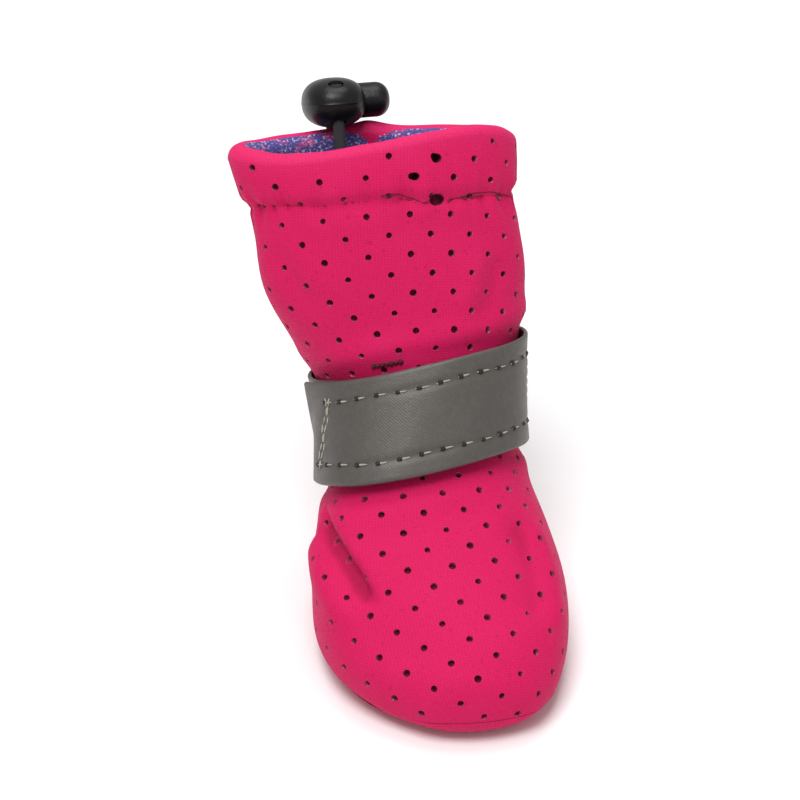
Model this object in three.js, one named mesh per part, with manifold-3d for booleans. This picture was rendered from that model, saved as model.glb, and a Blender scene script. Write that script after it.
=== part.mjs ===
// Soft dog boot: a foam-rubber sock on a sewn sole, with a reflective ankle strap that laps over
// itself on a hook patch, and a hemmed collar drawn in by an elastic cord and a spring cord lock.
// Millimetres, +Z up, toe towards -Y, and the wearer's left is +X.
import * as THREE from "three";
import { mergeVertices } from "three/addons/utils/BufferGeometryUtils.js";
import Module from "manifold-3d";

const wasm = await Module();
wasm.setup();

// Driving sizes of the boot
const SOLE_LENGTH = 64;
const BALL_WIDTH = 46;
const COLLAR_HEIGHT = 84;
const SHAFT_LEAN = THREE.MathUtils.degToRad(25);
const CENTRE_ALONG = 16.8; // distance from the heel to the origin, under the middle of the whole boot
const CENTRE_SIDE = -4.2; // and from the foot's middle line

// Wall, hem and sole
const WALL = 2;
const HEM_HEIGHT = 11;
const HEM_STEP_OUT = 0.9;
const HEM_STEP_IN = 1.1;
const HEM_SHOULDER = 1.2;
const SOLE_THICKNESS = 2.2;
const TOUCH_GAP = 0.3;
const TOE_SPRING = 3;
const SPRING_START = 46; // distance from the heel where the toe begins to lift
const FORM_SINK = 0.6; // how far the last reaches below the floor, so that the sole is cut flat

// Ankle strap and its hook patch
const STRAP_WIDTH = 20;
const STRAP_THICKNESS = 0.8;
const STRAP_FRONT = { along: 21.5, up: 40.5 };
const STRAP_SKEW = THREE.MathUtils.degToRad(8);
const STRAP_UNDER_END = -30; // degrees round the ankle from the front, positive to the wearer's right
const STRAP_OVER_END = 447;
const STRAP_LIFT_FROM = 255;
const STRAP_LIFT_TO = 322;
const PATCH_THICKNESS = 0.6;
const PATCH_WIDTH = 16;
const PATCH_FROM = -25;
const PATCH_TO = 78;

// Cord lock and drawcord
const LOCK = { across: 11.5, long: 17, thick: 9, power: 2.4, side: -6, round: 24, stacks: 16 };
const BUTTON = { halfLong: 3.6, halfThick: 3.2, inner: 0.6, tip: 10.3, dome: 2.6, travel: 3.5 };
const CORD_DIAMETER = 2.2;
const CORD_HOLE = 2.8;
const CORD_REACH = 5.8; // from the lock's middle to each cord hole
const CORD_SEAT = 1; // length of cord inside the hem
const CORD_TOP = 3.4; // where the cord ends in the lock, above the lock's middle

// Mesh fineness
const POINTS_ROUND = 48;
const RINGS_PER_SECTION = 3;
const RIM_STEPS = 4;
const SPRING_STEPS = 6;
const BAND_STEP = 6; // degrees
const BAND_ACROSS = 4;
const PIN_SIDES = 20;
const DOME_STEPS = 6;
const CORD_SIDES = 12;
const CORD_BEND_STEPS = 5;
const BISECTIONS = 24;
const NORMAL_STEP = 1e-3;

// Sections of the last from the toe tip to the collar. Each lies in a plane across the boot, from a
// front point on the toe, instep or shin to a back point on the sole, heel or calf.
// along: share of SOLE_LENGTH from the heel; up: share of COLLAR_HEIGHT; width: share of BALL_WIDTH;
// widest: where between back and front the section is widest; powers: how square each half is;
// side: millimetres that the slack boot sways to the wearer's left.
const SECTION_COLUMNS = [
  "name", "frontAlong", "frontUp", "backAlong", "backUp",
  "width", "widest", "frontPower", "backPower", "side",
];
const SECTION_TABLE = [
  ["toe tip",   1.000, 0.070,  1.000,  0.070, 0.000, 0.50, 2.0, 2.0,  3.4],
  ["toe edge",  0.978, 0.130,  0.978,  0.026, 0.360, 0.46, 2.0, 2.2,  3.1],
  ["toe cap",   0.925, 0.172,  0.925,  0.007, 0.570, 0.42, 2.0, 2.5,  2.4],
  ["toe",       0.838, 0.216,  0.838, -0.003, 0.775, 0.38, 2.1, 2.9,  1.4],
  ["fore ball", 0.720, 0.270,  0.718, -0.007, 0.930, 0.36, 2.1, 3.2,  0.4],
  ["ball",      0.588, 0.331,  0.562, -0.007, 1.000, 0.36, 2.2, 3.2, -0.3],
  ["waist",     0.462, 0.390,  0.370, -0.007, 0.960, 0.38, 2.2, 3.1, -0.2],
  ["throat",    0.354, 0.452,  0.130, -0.007, 0.850, 0.42, 2.2, 2.8,  0.7],
  ["heel",      0.287, 0.530, -0.025,  0.065, 0.710, 0.46, 2.2, 2.5,  2.0],
  ["ankle",     0.238, 0.613, -0.088,  0.305, 0.780, 0.50, 2.2, 2.2,  1.0],
  ["shaft",     0.150, 0.762, -0.186,  0.556, 1.030, 0.50, 2.1, 2.1, -2.4],
  ["hem seam",  0.064, 0.888, -0.270,  0.756, 1.030, 0.50, 2.0, 2.0, -3.8],
  ["collar",   -0.008, 0.990, -0.318,  0.890, 1.100, 0.50, 1.9, 1.9, -5.0],
];
const SECTIONS = SECTION_TABLE.map((row) =>
  Object.fromEntries(SECTION_COLUMNS.map((name, i) => [name, row[i]])));
const LAST_STATION = SECTIONS.length - 1;
const STRAP_STATIONS = { from: 5, to: LAST_STATION }; // the strap lies between the ball and the collar
const CORD_STATION = LAST_STATION - 0.5; // the cord leaves the hem halfway down it

// Waves of the slack rim: angle round the collar from the front, spread and rise along the shaft.
const RIM_WAVES = [
  { angle: 38, spread: 34, rise: -1.6 },
  { angle: -42, spread: 30, rise: 1.2 },
  { angle: -90, spread: 24, rise: -1.2 },
  { angle: 170, spread: 40, rise: 0.8 },
];

const SHAFT_AXIS = new THREE.Vector3(0, Math.sin(SHAFT_LEAN), Math.cos(SHAFT_LEAN));

const smoothstep = THREE.MathUtils.smoothstep;
const radians = THREE.MathUtils.degToRad;

// A point of the boot's own frame from side, distance along the foot from the heel, and height.
function place(side, along, up) {
  return new THREE.Vector3(side - CENTRE_SIDE, CENTRE_ALONG - along, up);
}

// One row of the table, carried on past both of its ends: through the toe tip the instep line goes
// on as the sole line, and past the collar the shaft goes straight on.
function sectionRow(index) {
  if (index < 0) {
    const row = SECTIONS[-index];
    return {
      ...row,
      frontAlong: row.backAlong,
      frontUp: row.backUp,
      backAlong: row.frontAlong,
      backUp: row.frontUp,
      width: -row.width,
    };
  }
  if (index > LAST_STATION) {
    const [end, before] = [SECTIONS[LAST_STATION], SECTIONS[LAST_STATION - 1]];
    const on = (name) => 2 * end[name] - before[name];
    return Object.fromEntries(SECTION_COLUMNS.map((name) => [name, name === "name" ? "" : on(name)]));
  }
  return SECTIONS[index];
}

// The section at any station between the rows, by a smooth curve through each column.
function sectionAt(station) {
  const index = Math.min(Math.floor(station), LAST_STATION - 1);
  const share = station - index;
  const rows = [-1, 0, 1, 2].map((step) => sectionRow(index + step));
  const through = (name) => {
    const [a, b, c, d] = rows.map((row) => row[name]);
    const bend = 2 * a - 5 * b + 4 * c - d + share * (3 * (b - c) + d - a);
    return b + 0.5 * share * (c - a + share * bend);
  };
  return Object.fromEntries(SECTION_COLUMNS.slice(1).map((name) => [name, through(name)]));
}

// How far along the shaft the slack rim stands above its plane at an angle round the collar.
function rimRise(angle) {
  return RIM_WAVES.reduce((sum, wave) => {
    const turn = angle - radians(wave.angle);
    const away = THREE.MathUtils.euclideanModulo(turn + Math.PI, 2 * Math.PI) - Math.PI;
    return sum + wave.rise * Math.exp(-((away / radians(wave.spread)) ** 2));
  }, 0);
}

// A point of the last. angle runs round the section from its front, positive to the wearer's right.
function lastPoint(station, angle) {
  const row = sectionAt(station);
  const toFront = Math.cos(angle);
  const power = toFront >= 0 ? row.frontPower : row.backPower;
  const reach = Math.sign(toFront) * Math.abs(toFront) ** (2 / power);
  const spread = Math.sign(Math.sin(angle)) * Math.abs(Math.sin(angle)) ** (2 / power);
  const share = row.widest + reach * (toFront >= 0 ? 1 - row.widest : row.widest);
  const point = place(
    row.side - (spread * row.width * BALL_WIDTH) / 2,
    SOLE_LENGTH * THREE.MathUtils.lerp(row.backAlong, row.frontAlong, share),
    COLLAR_HEIGHT * THREE.MathUtils.lerp(row.backUp, row.frontUp, share),
  );
  const slack = smoothstep(station, LAST_STATION - 1.4, LAST_STATION);
  return point.addScaledVector(SHAFT_AXIS, slack * rimRise(angle));
}

// The outward direction of the last's surface.
function lastNormal(station, angle) {
  if (station < NORMAL_STEP) return new THREE.Vector3(0, -1, 0);
  const low = Math.max(station - NORMAL_STEP, NORMAL_STEP / 2);
  const high = Math.min(station + NORMAL_STEP, LAST_STATION);
  const onward = lastPoint(high, angle).sub(lastPoint(low, angle));
  const around = lastPoint(station, angle + NORMAL_STEP).sub(lastPoint(station, angle - NORMAL_STEP));
  return onward.cross(around).normalize();
}

// A point at a distance outside the last, or inside it where the distance is negative.
function offsetPoint(station, angle, distance) {
  return lastPoint(station, angle).addScaledVector(lastNormal(station, angle), distance);
}

// A closed solid through rings of equal length, closed at both ends by a point.
function ringSolid(startPole, rings, endPole) {
  const round = rings[0].length;
  const points = [startPole, ...rings.flat(), endPole];
  const corner = (ring, j) => 1 + ring * round + (j % round);
  const faces = [];
  for (let j = 0; j < round; j++) {
    faces.push(0, corner(0, j + 1), corner(0, j));
    faces.push(points.length - 1, corner(rings.length - 1, j), corner(rings.length - 1, j + 1));
    for (let ring = 0; ring + 1 < rings.length; ring++) {
      const [a, b] = [corner(ring, j), corner(ring, j + 1)];
      const [c, d] = [corner(ring + 1, j + 1), corner(ring + 1, j)];
      faces.push(a, b, c, a, c, d);
    }
  }
  const geometry = new THREE.BufferGeometry();
  geometry.setAttribute("position", new THREE.Float32BufferAttribute(points.flatMap((p) => p.toArray()), 3));
  geometry.setIndex(faces);
  return geometry;
}

// A three.js geometry as a solid that can be cut and joined, turned right side out.
function toSolid(geometry) {
  const bare = geometry.clone();
  bare.deleteAttribute("normal");
  bare.deleteAttribute("uv");
  const merged = mergeVertices(bare, 1e-4);
  const triVerts = new Uint32Array(merged.index.array);
  const make = () =>
    new wasm.Manifold(new wasm.Mesh({ numProp: 3, vertProperties: merged.attributes.position.array, triVerts }));
  const solid = make();
  if (solid.volume() > 0) return solid;
  for (let i = 0; i < triVerts.length; i += 3) {
    [triVerts[i + 1], triVerts[i + 2]] = [triVerts[i + 2], triVerts[i + 1]];
  }
  return make();
}

// A solid back as a three.js geometry.
function toGeometry(solid) {
  const mesh = solid.getMesh();
  const geometry = new THREE.BufferGeometry();
  geometry.setAttribute("position", new THREE.Float32BufferAttribute(mesh.vertProperties, mesh.numProp));
  geometry.setIndex(Array.from(mesh.triVerts));
  return geometry;
}

function stationsOfUpper() {
  const count = LAST_STATION * RINGS_PER_SECTION;
  return Array.from({ length: count }, (_, i) => ((i + 1) * LAST_STATION) / count);
}

function ringAt(station, distance) {
  return Array.from({ length: POINTS_ROUND }, (_, j) => {
    const angle = (2 * Math.PI * j) / POINTS_ROUND;
    return offsetPoint(station, angle, distance);
  });
}

// How far the hem's step is on at a station: 0 on the shaft, 1 above the hem's seam.
function hemShare(station) {
  const front = lastPoint(station, 0).distanceTo(lastPoint(LAST_STATION, 0));
  return smoothstep(-front, -HEM_HEIGHT - HEM_SHOULDER / 2, -HEM_HEIGHT + HEM_SHOULDER / 2);
}
const outerOffset = (station) => HEM_STEP_OUT * hemShare(station);
const innerOffset = (station) => -WALL - HEM_STEP_IN * hemShare(station);

// The whole sock before it is opened underneath: outside, rolled rim, inside.
function sockSolid() {
  const stations = stationsOfUpper();
  const outer = stations.map((station) => ringAt(station, outerOffset(station)));
  const inner = stations.map((station) => ringAt(station, innerOffset(station))).reverse();
  const rim = Array.from({ length: RIM_STEPS }, (_, i) => {
    const turn = (Math.PI * (i + 1)) / (RIM_STEPS + 1);
    return outer.at(-1).map((out, j) => {
      const half = out.clone().sub(inner[0][j]).multiplyScalar(0.5);
      const middle = out.clone().sub(half);
      return middle
        .addScaledVector(SHAFT_AXIS, half.length() * Math.sin(turn))
        .addScaledVector(half, Math.cos(turn));
    });
  });
  const rings = [...outer, ...rim, ...inner];
  return toSolid(ringSolid(lastPoint(0, 0), rings, offsetPoint(0, 0, innerOffset(0))));
}

// The last itself, filled.
function lastSolid() {
  const stations = stationsOfUpper();
  const rings = stations.map((station) => ringAt(station, 0));
  const top = rings.at(-1).reduce((sum, p) => sum.add(p), new THREE.Vector3()).divideScalar(POINTS_ROUND);
  return toSolid(ringSolid(lastPoint(0, 0), rings, top));
}

// Everything from a level up to a height above the sole line, which lifts under the toe.
function solelineSlab(bottom, height) {
  const springLength = SOLE_LENGTH - SPRING_START;
  const lift = (along) => TOE_SPRING * Math.max(0, (along - SPRING_START) / springLength) ** 2;
  const stops = [-SOLE_LENGTH, SPRING_START];
  for (let i = 1; i <= SPRING_STEPS; i++) {
    stops.push(THREE.MathUtils.lerp(SPRING_START, SOLE_LENGTH + WALL, i / SPRING_STEPS));
  }
  const outline = [
    [stops.at(-1), bottom],
    [stops[0], bottom],
    ...stops.map((along) => [along, height + lift(along)]),
  ];
  const corners = outline.map(([along, up]) => new THREE.Vector2(CENTRE_ALONG - along, up));
  const shape = new THREE.Shape(corners);
  const slab = new THREE.ExtrudeGeometry(shape, { depth: 2 * BALL_WIDTH, bevelEnabled: false });
  const standing = new THREE.Matrix4().makeBasis(
    new THREE.Vector3(0, 1, 0), new THREE.Vector3(0, 0, 1), new THREE.Vector3(1, 0, 0),
  );
  slab.applyMatrix4(standing.setPosition(-BALL_WIDTH, 0, 0));
  return toSolid(slab);
}

// The strap's middle plane, square to the shaft and skewed across it.
const STRAP_MIDDLE = place(0, STRAP_FRONT.along, STRAP_FRONT.up);
const STRAP_NORMAL = SHAFT_AXIS.clone().add(new THREE.Vector3(-Math.tan(STRAP_SKEW), 0, 0)).normalize();

// The station where the last's line at an angle crosses the plane at a distance above the strap's
// middle.
function stationOnPlane(angle, above) {
  let [low, high] = [STRAP_STATIONS.from, STRAP_STATIONS.to];
  for (let i = 0; i < BISECTIONS; i++) {
    const middle = (low + high) / 2;
    const height = lastPoint(middle, angle).sub(STRAP_MIDDLE).dot(STRAP_NORMAL);
    if (height < above) low = middle;
    else high = middle;
  }
  return (low + high) / 2;
}

// A point of a band round the ankle. The band follows the last where that bulges and bridges it
// straight from one edge of the strap to the other where it hollows.
function bandPoint(angle, across, offset) {
  const onLast = (distance) => {
    const station = stationOnPlane(angle, distance);
    return { point: offsetPoint(station, angle, offset), normal: lastNormal(station, angle) };
  };
  const [low, here, high] = [onLast(-STRAP_WIDTH / 2), onLast(across), onLast(STRAP_WIDTH / 2)];
  const bridge = low.point.clone().lerp(high.point, across / STRAP_WIDTH + 0.5);
  const clear = bridge.clone().sub(here.point).dot(here.normal);
  return clear > 0 ? bridge : here.point;
}

// A band of a thickness from one angle to another, in degrees; offsetAt gives its inner face's
// distance from the last.
function bandSolid(from, to, width, thickness, offsetAt) {
  const steps = Math.round((to - from) / BAND_STEP);
  const rings = [];
  for (let i = 0; i <= steps; i++) {
    const degrees = from + ((to - from) * i) / steps;
    const offset = offsetAt(degrees);
    const edge = Array.from({ length: BAND_ACROSS + 1 }, (_, j) => width * (j / BAND_ACROSS - 0.5));
    const inside = edge.map((across) => bandPoint(radians(degrees), across, offset));
    const outside = edge.map((across) => bandPoint(radians(degrees), across, offset + thickness));
    rings.push([...inside, ...outside.reverse()]);
  }
  const middle = (ring) =>
    ring.reduce((sum, p) => sum.add(p), new THREE.Vector3()).divideScalar(ring.length);
  return toSolid(ringSolid(middle(rings[0]), rings, middle(rings.at(-1))));
}

// The strap's inner face: on the sock for the first turn, then up over the hook patch.
const PATCH_OFFSET = TOUCH_GAP + STRAP_THICKNESS + TOUCH_GAP;
const OVER_OFFSET = PATCH_OFFSET + PATCH_THICKNESS + TOUCH_GAP;
function strapOffset(degrees) {
  return THREE.MathUtils.lerp(TOUCH_GAP, OVER_OFFSET, smoothstep(degrees, STRAP_LIFT_FROM, STRAP_LIFT_TO));
}

// The lock's own frame: X across the boot, Y towards its back, Z up along the shaft. It sits on the
// rim.
const LOCK_ANGLE = Math.PI - Math.asin(LOCK.side / (-SECTIONS[LAST_STATION].width * BALL_WIDTH * 0.5));
const HEM_THICKNESS = WALL + HEM_STEP_OUT + HEM_STEP_IN;
const RIM_TOP = offsetPoint(LAST_STATION, LOCK_ANGLE, (HEM_STEP_OUT - HEM_STEP_IN - WALL) / 2)
  .addScaledVector(SHAFT_AXIS, HEM_THICKNESS / 2);
const LOCK_MIDDLE = RIM_TOP.clone().addScaledVector(SHAFT_AXIS, LOCK.thick / 2 + TOUCH_GAP);
const ACROSS_AXIS = new THREE.Vector3(1, 0, 0);
const BACK_AXIS = SHAFT_AXIS.clone().cross(ACROSS_AXIS);
const LOCK_FRAME = new THREE.Matrix4()
  .makeBasis(ACROSS_AXIS, BACK_AXIS, SHAFT_AXIS)
  .setPosition(LOCK_MIDDLE);
const TO_LOCK = LOCK_FRAME.clone().invert();

// A round pin in the lock's frame, along one of its axes, from one distance to another.
function pin(radius, axis, from, to, centre) {
  const geometry = new THREE.CylinderGeometry(radius, radius, to - from, PIN_SIDES);
  const turn = new THREE.Quaternion().setFromUnitVectors(new THREE.Vector3(0, 1, 0), axis);
  geometry.applyQuaternion(turn);
  const middle = centre.clone().addScaledVector(axis, (from + to) / 2);
  return geometry.translate(middle.x, middle.y, middle.z);
}

// The button's shape: an oval stem with a domed end, grown all round by a clearance.
function buttonGeometry(inner, tip, grow) {
  const profile = [new THREE.Vector2(0, inner), new THREE.Vector2(1, inner)];
  for (let i = 0; i <= DOME_STEPS; i++) {
    const turn = (Math.PI / 2) * (i / DOME_STEPS);
    profile.push(new THREE.Vector2(Math.cos(turn), tip - BUTTON.dome * (1 - Math.sin(turn))));
  }
  profile[profile.length - 1].x = 0;
  const geometry = new THREE.LatheGeometry(profile, LOCK.round);
  geometry.scale(BUTTON.halfThick + grow, 1, BUTTON.halfLong + grow);
  const [thick, out, long] = [new THREE.Vector3(0, 0, -1), ACROSS_AXIS, new THREE.Vector3(0, 1, 0)];
  return geometry.applyMatrix4(new THREE.Matrix4().makeBasis(thick, out, long));
}

// The lock's body: a full-sided bean with a pocket for the button and a hole each side for the cord.
function lockBodySolid() {
  const bean = new THREE.SphereGeometry(1, LOCK.round, LOCK.stacks);
  const points = bean.attributes.position;
  const point = new THREE.Vector3();
  for (let i = 0; i < points.count; i++) {
    point.fromBufferAttribute(points, i);
    const size = point.toArray().reduce((sum, v) => sum + Math.abs(v) ** LOCK.power, 0) ** (1 / LOCK.power);
    points.setXYZ(i, ...point.divideScalar(size).toArray());
  }
  bean.scale(LOCK.across / 2, LOCK.long / 2, LOCK.thick / 2);
  const pocket = buttonGeometry(BUTTON.inner - BUTTON.travel - TOUCH_GAP, 2 * LOCK.across, TOUCH_GAP);
  const up = new THREE.Vector3(0, 0, 1);
  const holes = [-CORD_REACH, CORD_REACH].map((back) =>
    pin(CORD_HOLE / 2, up, -LOCK.thick, LOCK.thick, new THREE.Vector3(0, back, 0)));
  return [pocket, ...holes].reduce((body, cutter) => body.subtract(toSolid(cutter)), toSolid(bean));
}

// The two places, in the lock's frame, where the cord leaves the hem: inside and outside the collar.
const CORD_EXITS = [innerOffset, outerOffset].map((offset) =>
  offsetPoint(CORD_STATION, LOCK_ANGLE, offset(CORD_STATION)).applyMatrix4(TO_LOCK).setX(0));

// One end of the cord, from its seat in the hem round a bend and up through the lock's hole.
function cordSolid(exit) {
  const away = Math.sign(exit.y);
  const bend = CORD_REACH - Math.abs(exit.y);
  const path = [new THREE.Vector2(exit.y - away * CORD_SEAT, exit.z)];
  for (let i = 0; i <= CORD_BEND_STEPS; i++) {
    const turn = (Math.PI / 2) * (i / CORD_BEND_STEPS);
    const [out, rise] = [bend * Math.sin(turn), bend * (1 - Math.cos(turn))];
    path.push(new THREE.Vector2(exit.y + away * out, exit.z + rise));
  }
  path.push(new THREE.Vector2(away * CORD_REACH, CORD_TOP));
  const rings = path.map((middle, i) => {
    const [before, after] = [path[Math.max(i - 1, 0)], path[Math.min(i + 1, path.length - 1)]];
    const onward = after.clone().sub(before).normalize();
    return Array.from({ length: CORD_SIDES }, (_, j) => {
      const turn = (2 * Math.PI * j) / CORD_SIDES;
      const out = (CORD_DIAMETER / 2) * Math.sin(turn);
      return new THREE.Vector3(
        (CORD_DIAMETER / 2) * Math.cos(turn), middle.x - onward.y * out, middle.y + onward.x * out,
      );
    });
  });
  const pole = (middle) => new THREE.Vector3(0, middle.x, middle.y);
  return toSolid(ringSolid(pole(path[0]), rings, pole(path.at(-1))));
}

// The holes in the hem that the cord comes out of.
function cordExitCutters() {
  return CORD_EXITS.map((exit) => {
    const axis = new THREE.Vector3(0, Math.sign(exit.y), 0);
    const hole = pin(CORD_HOLE / 2, axis, -CORD_SEAT - TOUCH_GAP, CORD_HOLE, exit);
    return toSolid(hole.applyMatrix4(LOCK_FRAME));
  });
}

const COLOURS = { pink: 0xec206c, deepPink: 0xc81a5c, grey: 0x78736c, black: 0x101012 };

function finish(color, roughness) {
  return new THREE.MeshStandardMaterial({ color, roughness, metalness: 0 });
}

const boot = new THREE.Group();
boot.name = "dog_boot";

function add(name, geometry, material, parent = boot) {
  const mesh = new THREE.Mesh(geometry, material);
  mesh.name = name;
  parent.add(mesh);
}

const underside = solelineSlab(-WALL - FORM_SINK, SOLE_THICKNESS + TOUCH_GAP);
const upper = [underside, ...cordExitCutters()].reduce((body, cutter) => body.subtract(cutter), sockSolid());
add("upper", toGeometry(upper), finish(COLOURS.pink, 0.8));
const sole = lastSolid().intersect(solelineSlab(0, SOLE_THICKNESS));
add("sole", toGeometry(sole), finish(COLOURS.deepPink, 0.85));

const strap = bandSolid(STRAP_UNDER_END, STRAP_OVER_END, STRAP_WIDTH, STRAP_THICKNESS, strapOffset);
add("ankle_strap", toGeometry(strap), finish(COLOURS.grey, 0.5));
const patch = bandSolid(PATCH_FROM, PATCH_TO, PATCH_WIDTH, PATCH_THICKNESS, () => PATCH_OFFSET);
add("hook_patch", toGeometry(patch), finish(COLOURS.black, 0.95));

const lock = new THREE.Group();
lock.applyMatrix4(LOCK_FRAME);
boot.add(lock);
add("cord_lock_body", toGeometry(lockBodySolid()), finish(COLOURS.black, 0.3), lock);
const button = toSolid(buttonGeometry(BUTTON.inner, BUTTON.tip, 0));
add("cord_lock_button", toGeometry(button), finish(COLOURS.black, 0.3), lock);
["drawcord_inside", "drawcord_outside"].forEach((name, i) => {
  add(name, toGeometry(cordSolid(CORD_EXITS[i])), finish(COLOURS.black, 0.9), lock);
});

export default boot;
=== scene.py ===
"""Looks of a soft dog boot: a perforated foam sock, a reflective strap and a cord lock."""
import logging
import math
from dataclasses import dataclass, field
from enum import Enum
from typing import Any, Callable, Mapping, Sequence

import bmesh
import bpy
import numpy as np
from mathutils import Matrix, Vector


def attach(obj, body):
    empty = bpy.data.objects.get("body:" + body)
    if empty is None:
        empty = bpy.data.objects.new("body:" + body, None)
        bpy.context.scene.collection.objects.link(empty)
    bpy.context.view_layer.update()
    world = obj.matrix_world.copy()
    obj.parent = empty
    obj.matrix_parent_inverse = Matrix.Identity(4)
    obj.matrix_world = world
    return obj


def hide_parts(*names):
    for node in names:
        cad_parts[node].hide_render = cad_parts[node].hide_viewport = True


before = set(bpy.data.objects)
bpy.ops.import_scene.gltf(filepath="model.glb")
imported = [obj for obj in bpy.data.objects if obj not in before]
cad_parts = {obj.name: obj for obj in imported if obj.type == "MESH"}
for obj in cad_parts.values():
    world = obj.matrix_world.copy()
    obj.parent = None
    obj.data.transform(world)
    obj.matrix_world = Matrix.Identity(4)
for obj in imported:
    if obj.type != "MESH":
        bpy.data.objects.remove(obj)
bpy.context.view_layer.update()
LOG = logging.getLogger("dog_boot")

MM = 0.001
PANEL = "panel"
# Mesh attribute for painted shade in creases and stitch grooves.
PAINTED_SHADE = "crease_depth"
Colour = tuple[float, float, float]


class Body(Enum):
    """The bodies that a piece can ride on."""

    BOOT = "boot"
    BUTTON = "lock_button"


class Slot(Enum):
    """The material slots of the record."""

    UPPER = "upper_foam"
    SOLE = "sole_foam"
    TAPE = "reflective_tape"
    HOOK = "hook_tape"
    PLASTIC = "lock_plastic"
    CORD = "elastic_cord"


def smoothstep(x: np.ndarray, low: float, high: float) -> np.ndarray:
    """Ease from 0 to 1 between two limits.

    Args:
        x: Values to ease.
        low: Value that gives 0.
        high: Value that gives 1.

    Returns:
        The eased values.
    """
    t = np.clip((np.asarray(x, float) - low) / (high - low), 0.0, 1.0)
    return t * t * (3.0 - 2.0 * t)


def bump(x: np.ndarray, width: float) -> np.ndarray:
    """A smooth bump of height 1 at zero."""
    return np.exp(-((np.asarray(x, float) / width) ** 2))


class Field:
    """A shader value that plain arithmetic works on."""

    def __init__(self, shader: "Shader", socket: bpy.types.NodeSocket) -> None:
        """Wrap one output socket of a shader."""
        self.shader = shader
        self.socket = socket

    def math(self, operation: str, *others: "Field | float", swap: bool = False) -> "Field":
        """Add a Math node.

        Args:
            operation: The node's operation.
            others: Further operands.
            swap: Whether this value comes second.

        Returns:
            The result.
        """
        operands = [self, *others]
        if swap:
            operands.reverse()
        made = self.shader.node("ShaderNodeMath", {"operation": operation}, dict(enumerate(operands)))
        return self.shader.out(made)

    def __add__(self, other: "Field | float") -> "Field":
        """Sum."""
        return self.math("ADD", other)

    def __radd__(self, other: float) -> "Field":
        """Sum, reflected."""
        return self.math("ADD", other)

    def __sub__(self, other: "Field | float") -> "Field":
        """Difference."""
        return self.math("SUBTRACT", other)

    def __rsub__(self, other: float) -> "Field":
        """Difference, reflected."""
        return self.math("SUBTRACT", other, swap=True)

    def __mul__(self, other: "Field | float") -> "Field":
        """Product."""
        return self.math("MULTIPLY", other)

    def __rmul__(self, other: float) -> "Field":
        """Product, reflected."""
        return self.math("MULTIPLY", other)

    def sine(self) -> "Field":
        """Sine of the value in radians."""
        return self.math("SINE")

    def absolute(self) -> "Field":
        """Size of the value without its sign."""
        return self.math("ABSOLUTE")

    def fraction(self) -> "Field":
        """Part of the value after the point."""
        return self.math("FRACT")

    def ramp(self, low: float, high: float) -> "Field":
        """Ease the value from 0 to 1 between two limits.

        Args:
            low: Value that gives 0.
            high: Value that gives 1.

        Returns:
            The eased value.
        """
        made = self.shader.node(
            "ShaderNodeMapRange", {"interpolation_type": "SMOOTHSTEP"}, {0: self, 1: low, 2: high}
        )
        return self.shader.out(made)


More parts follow.
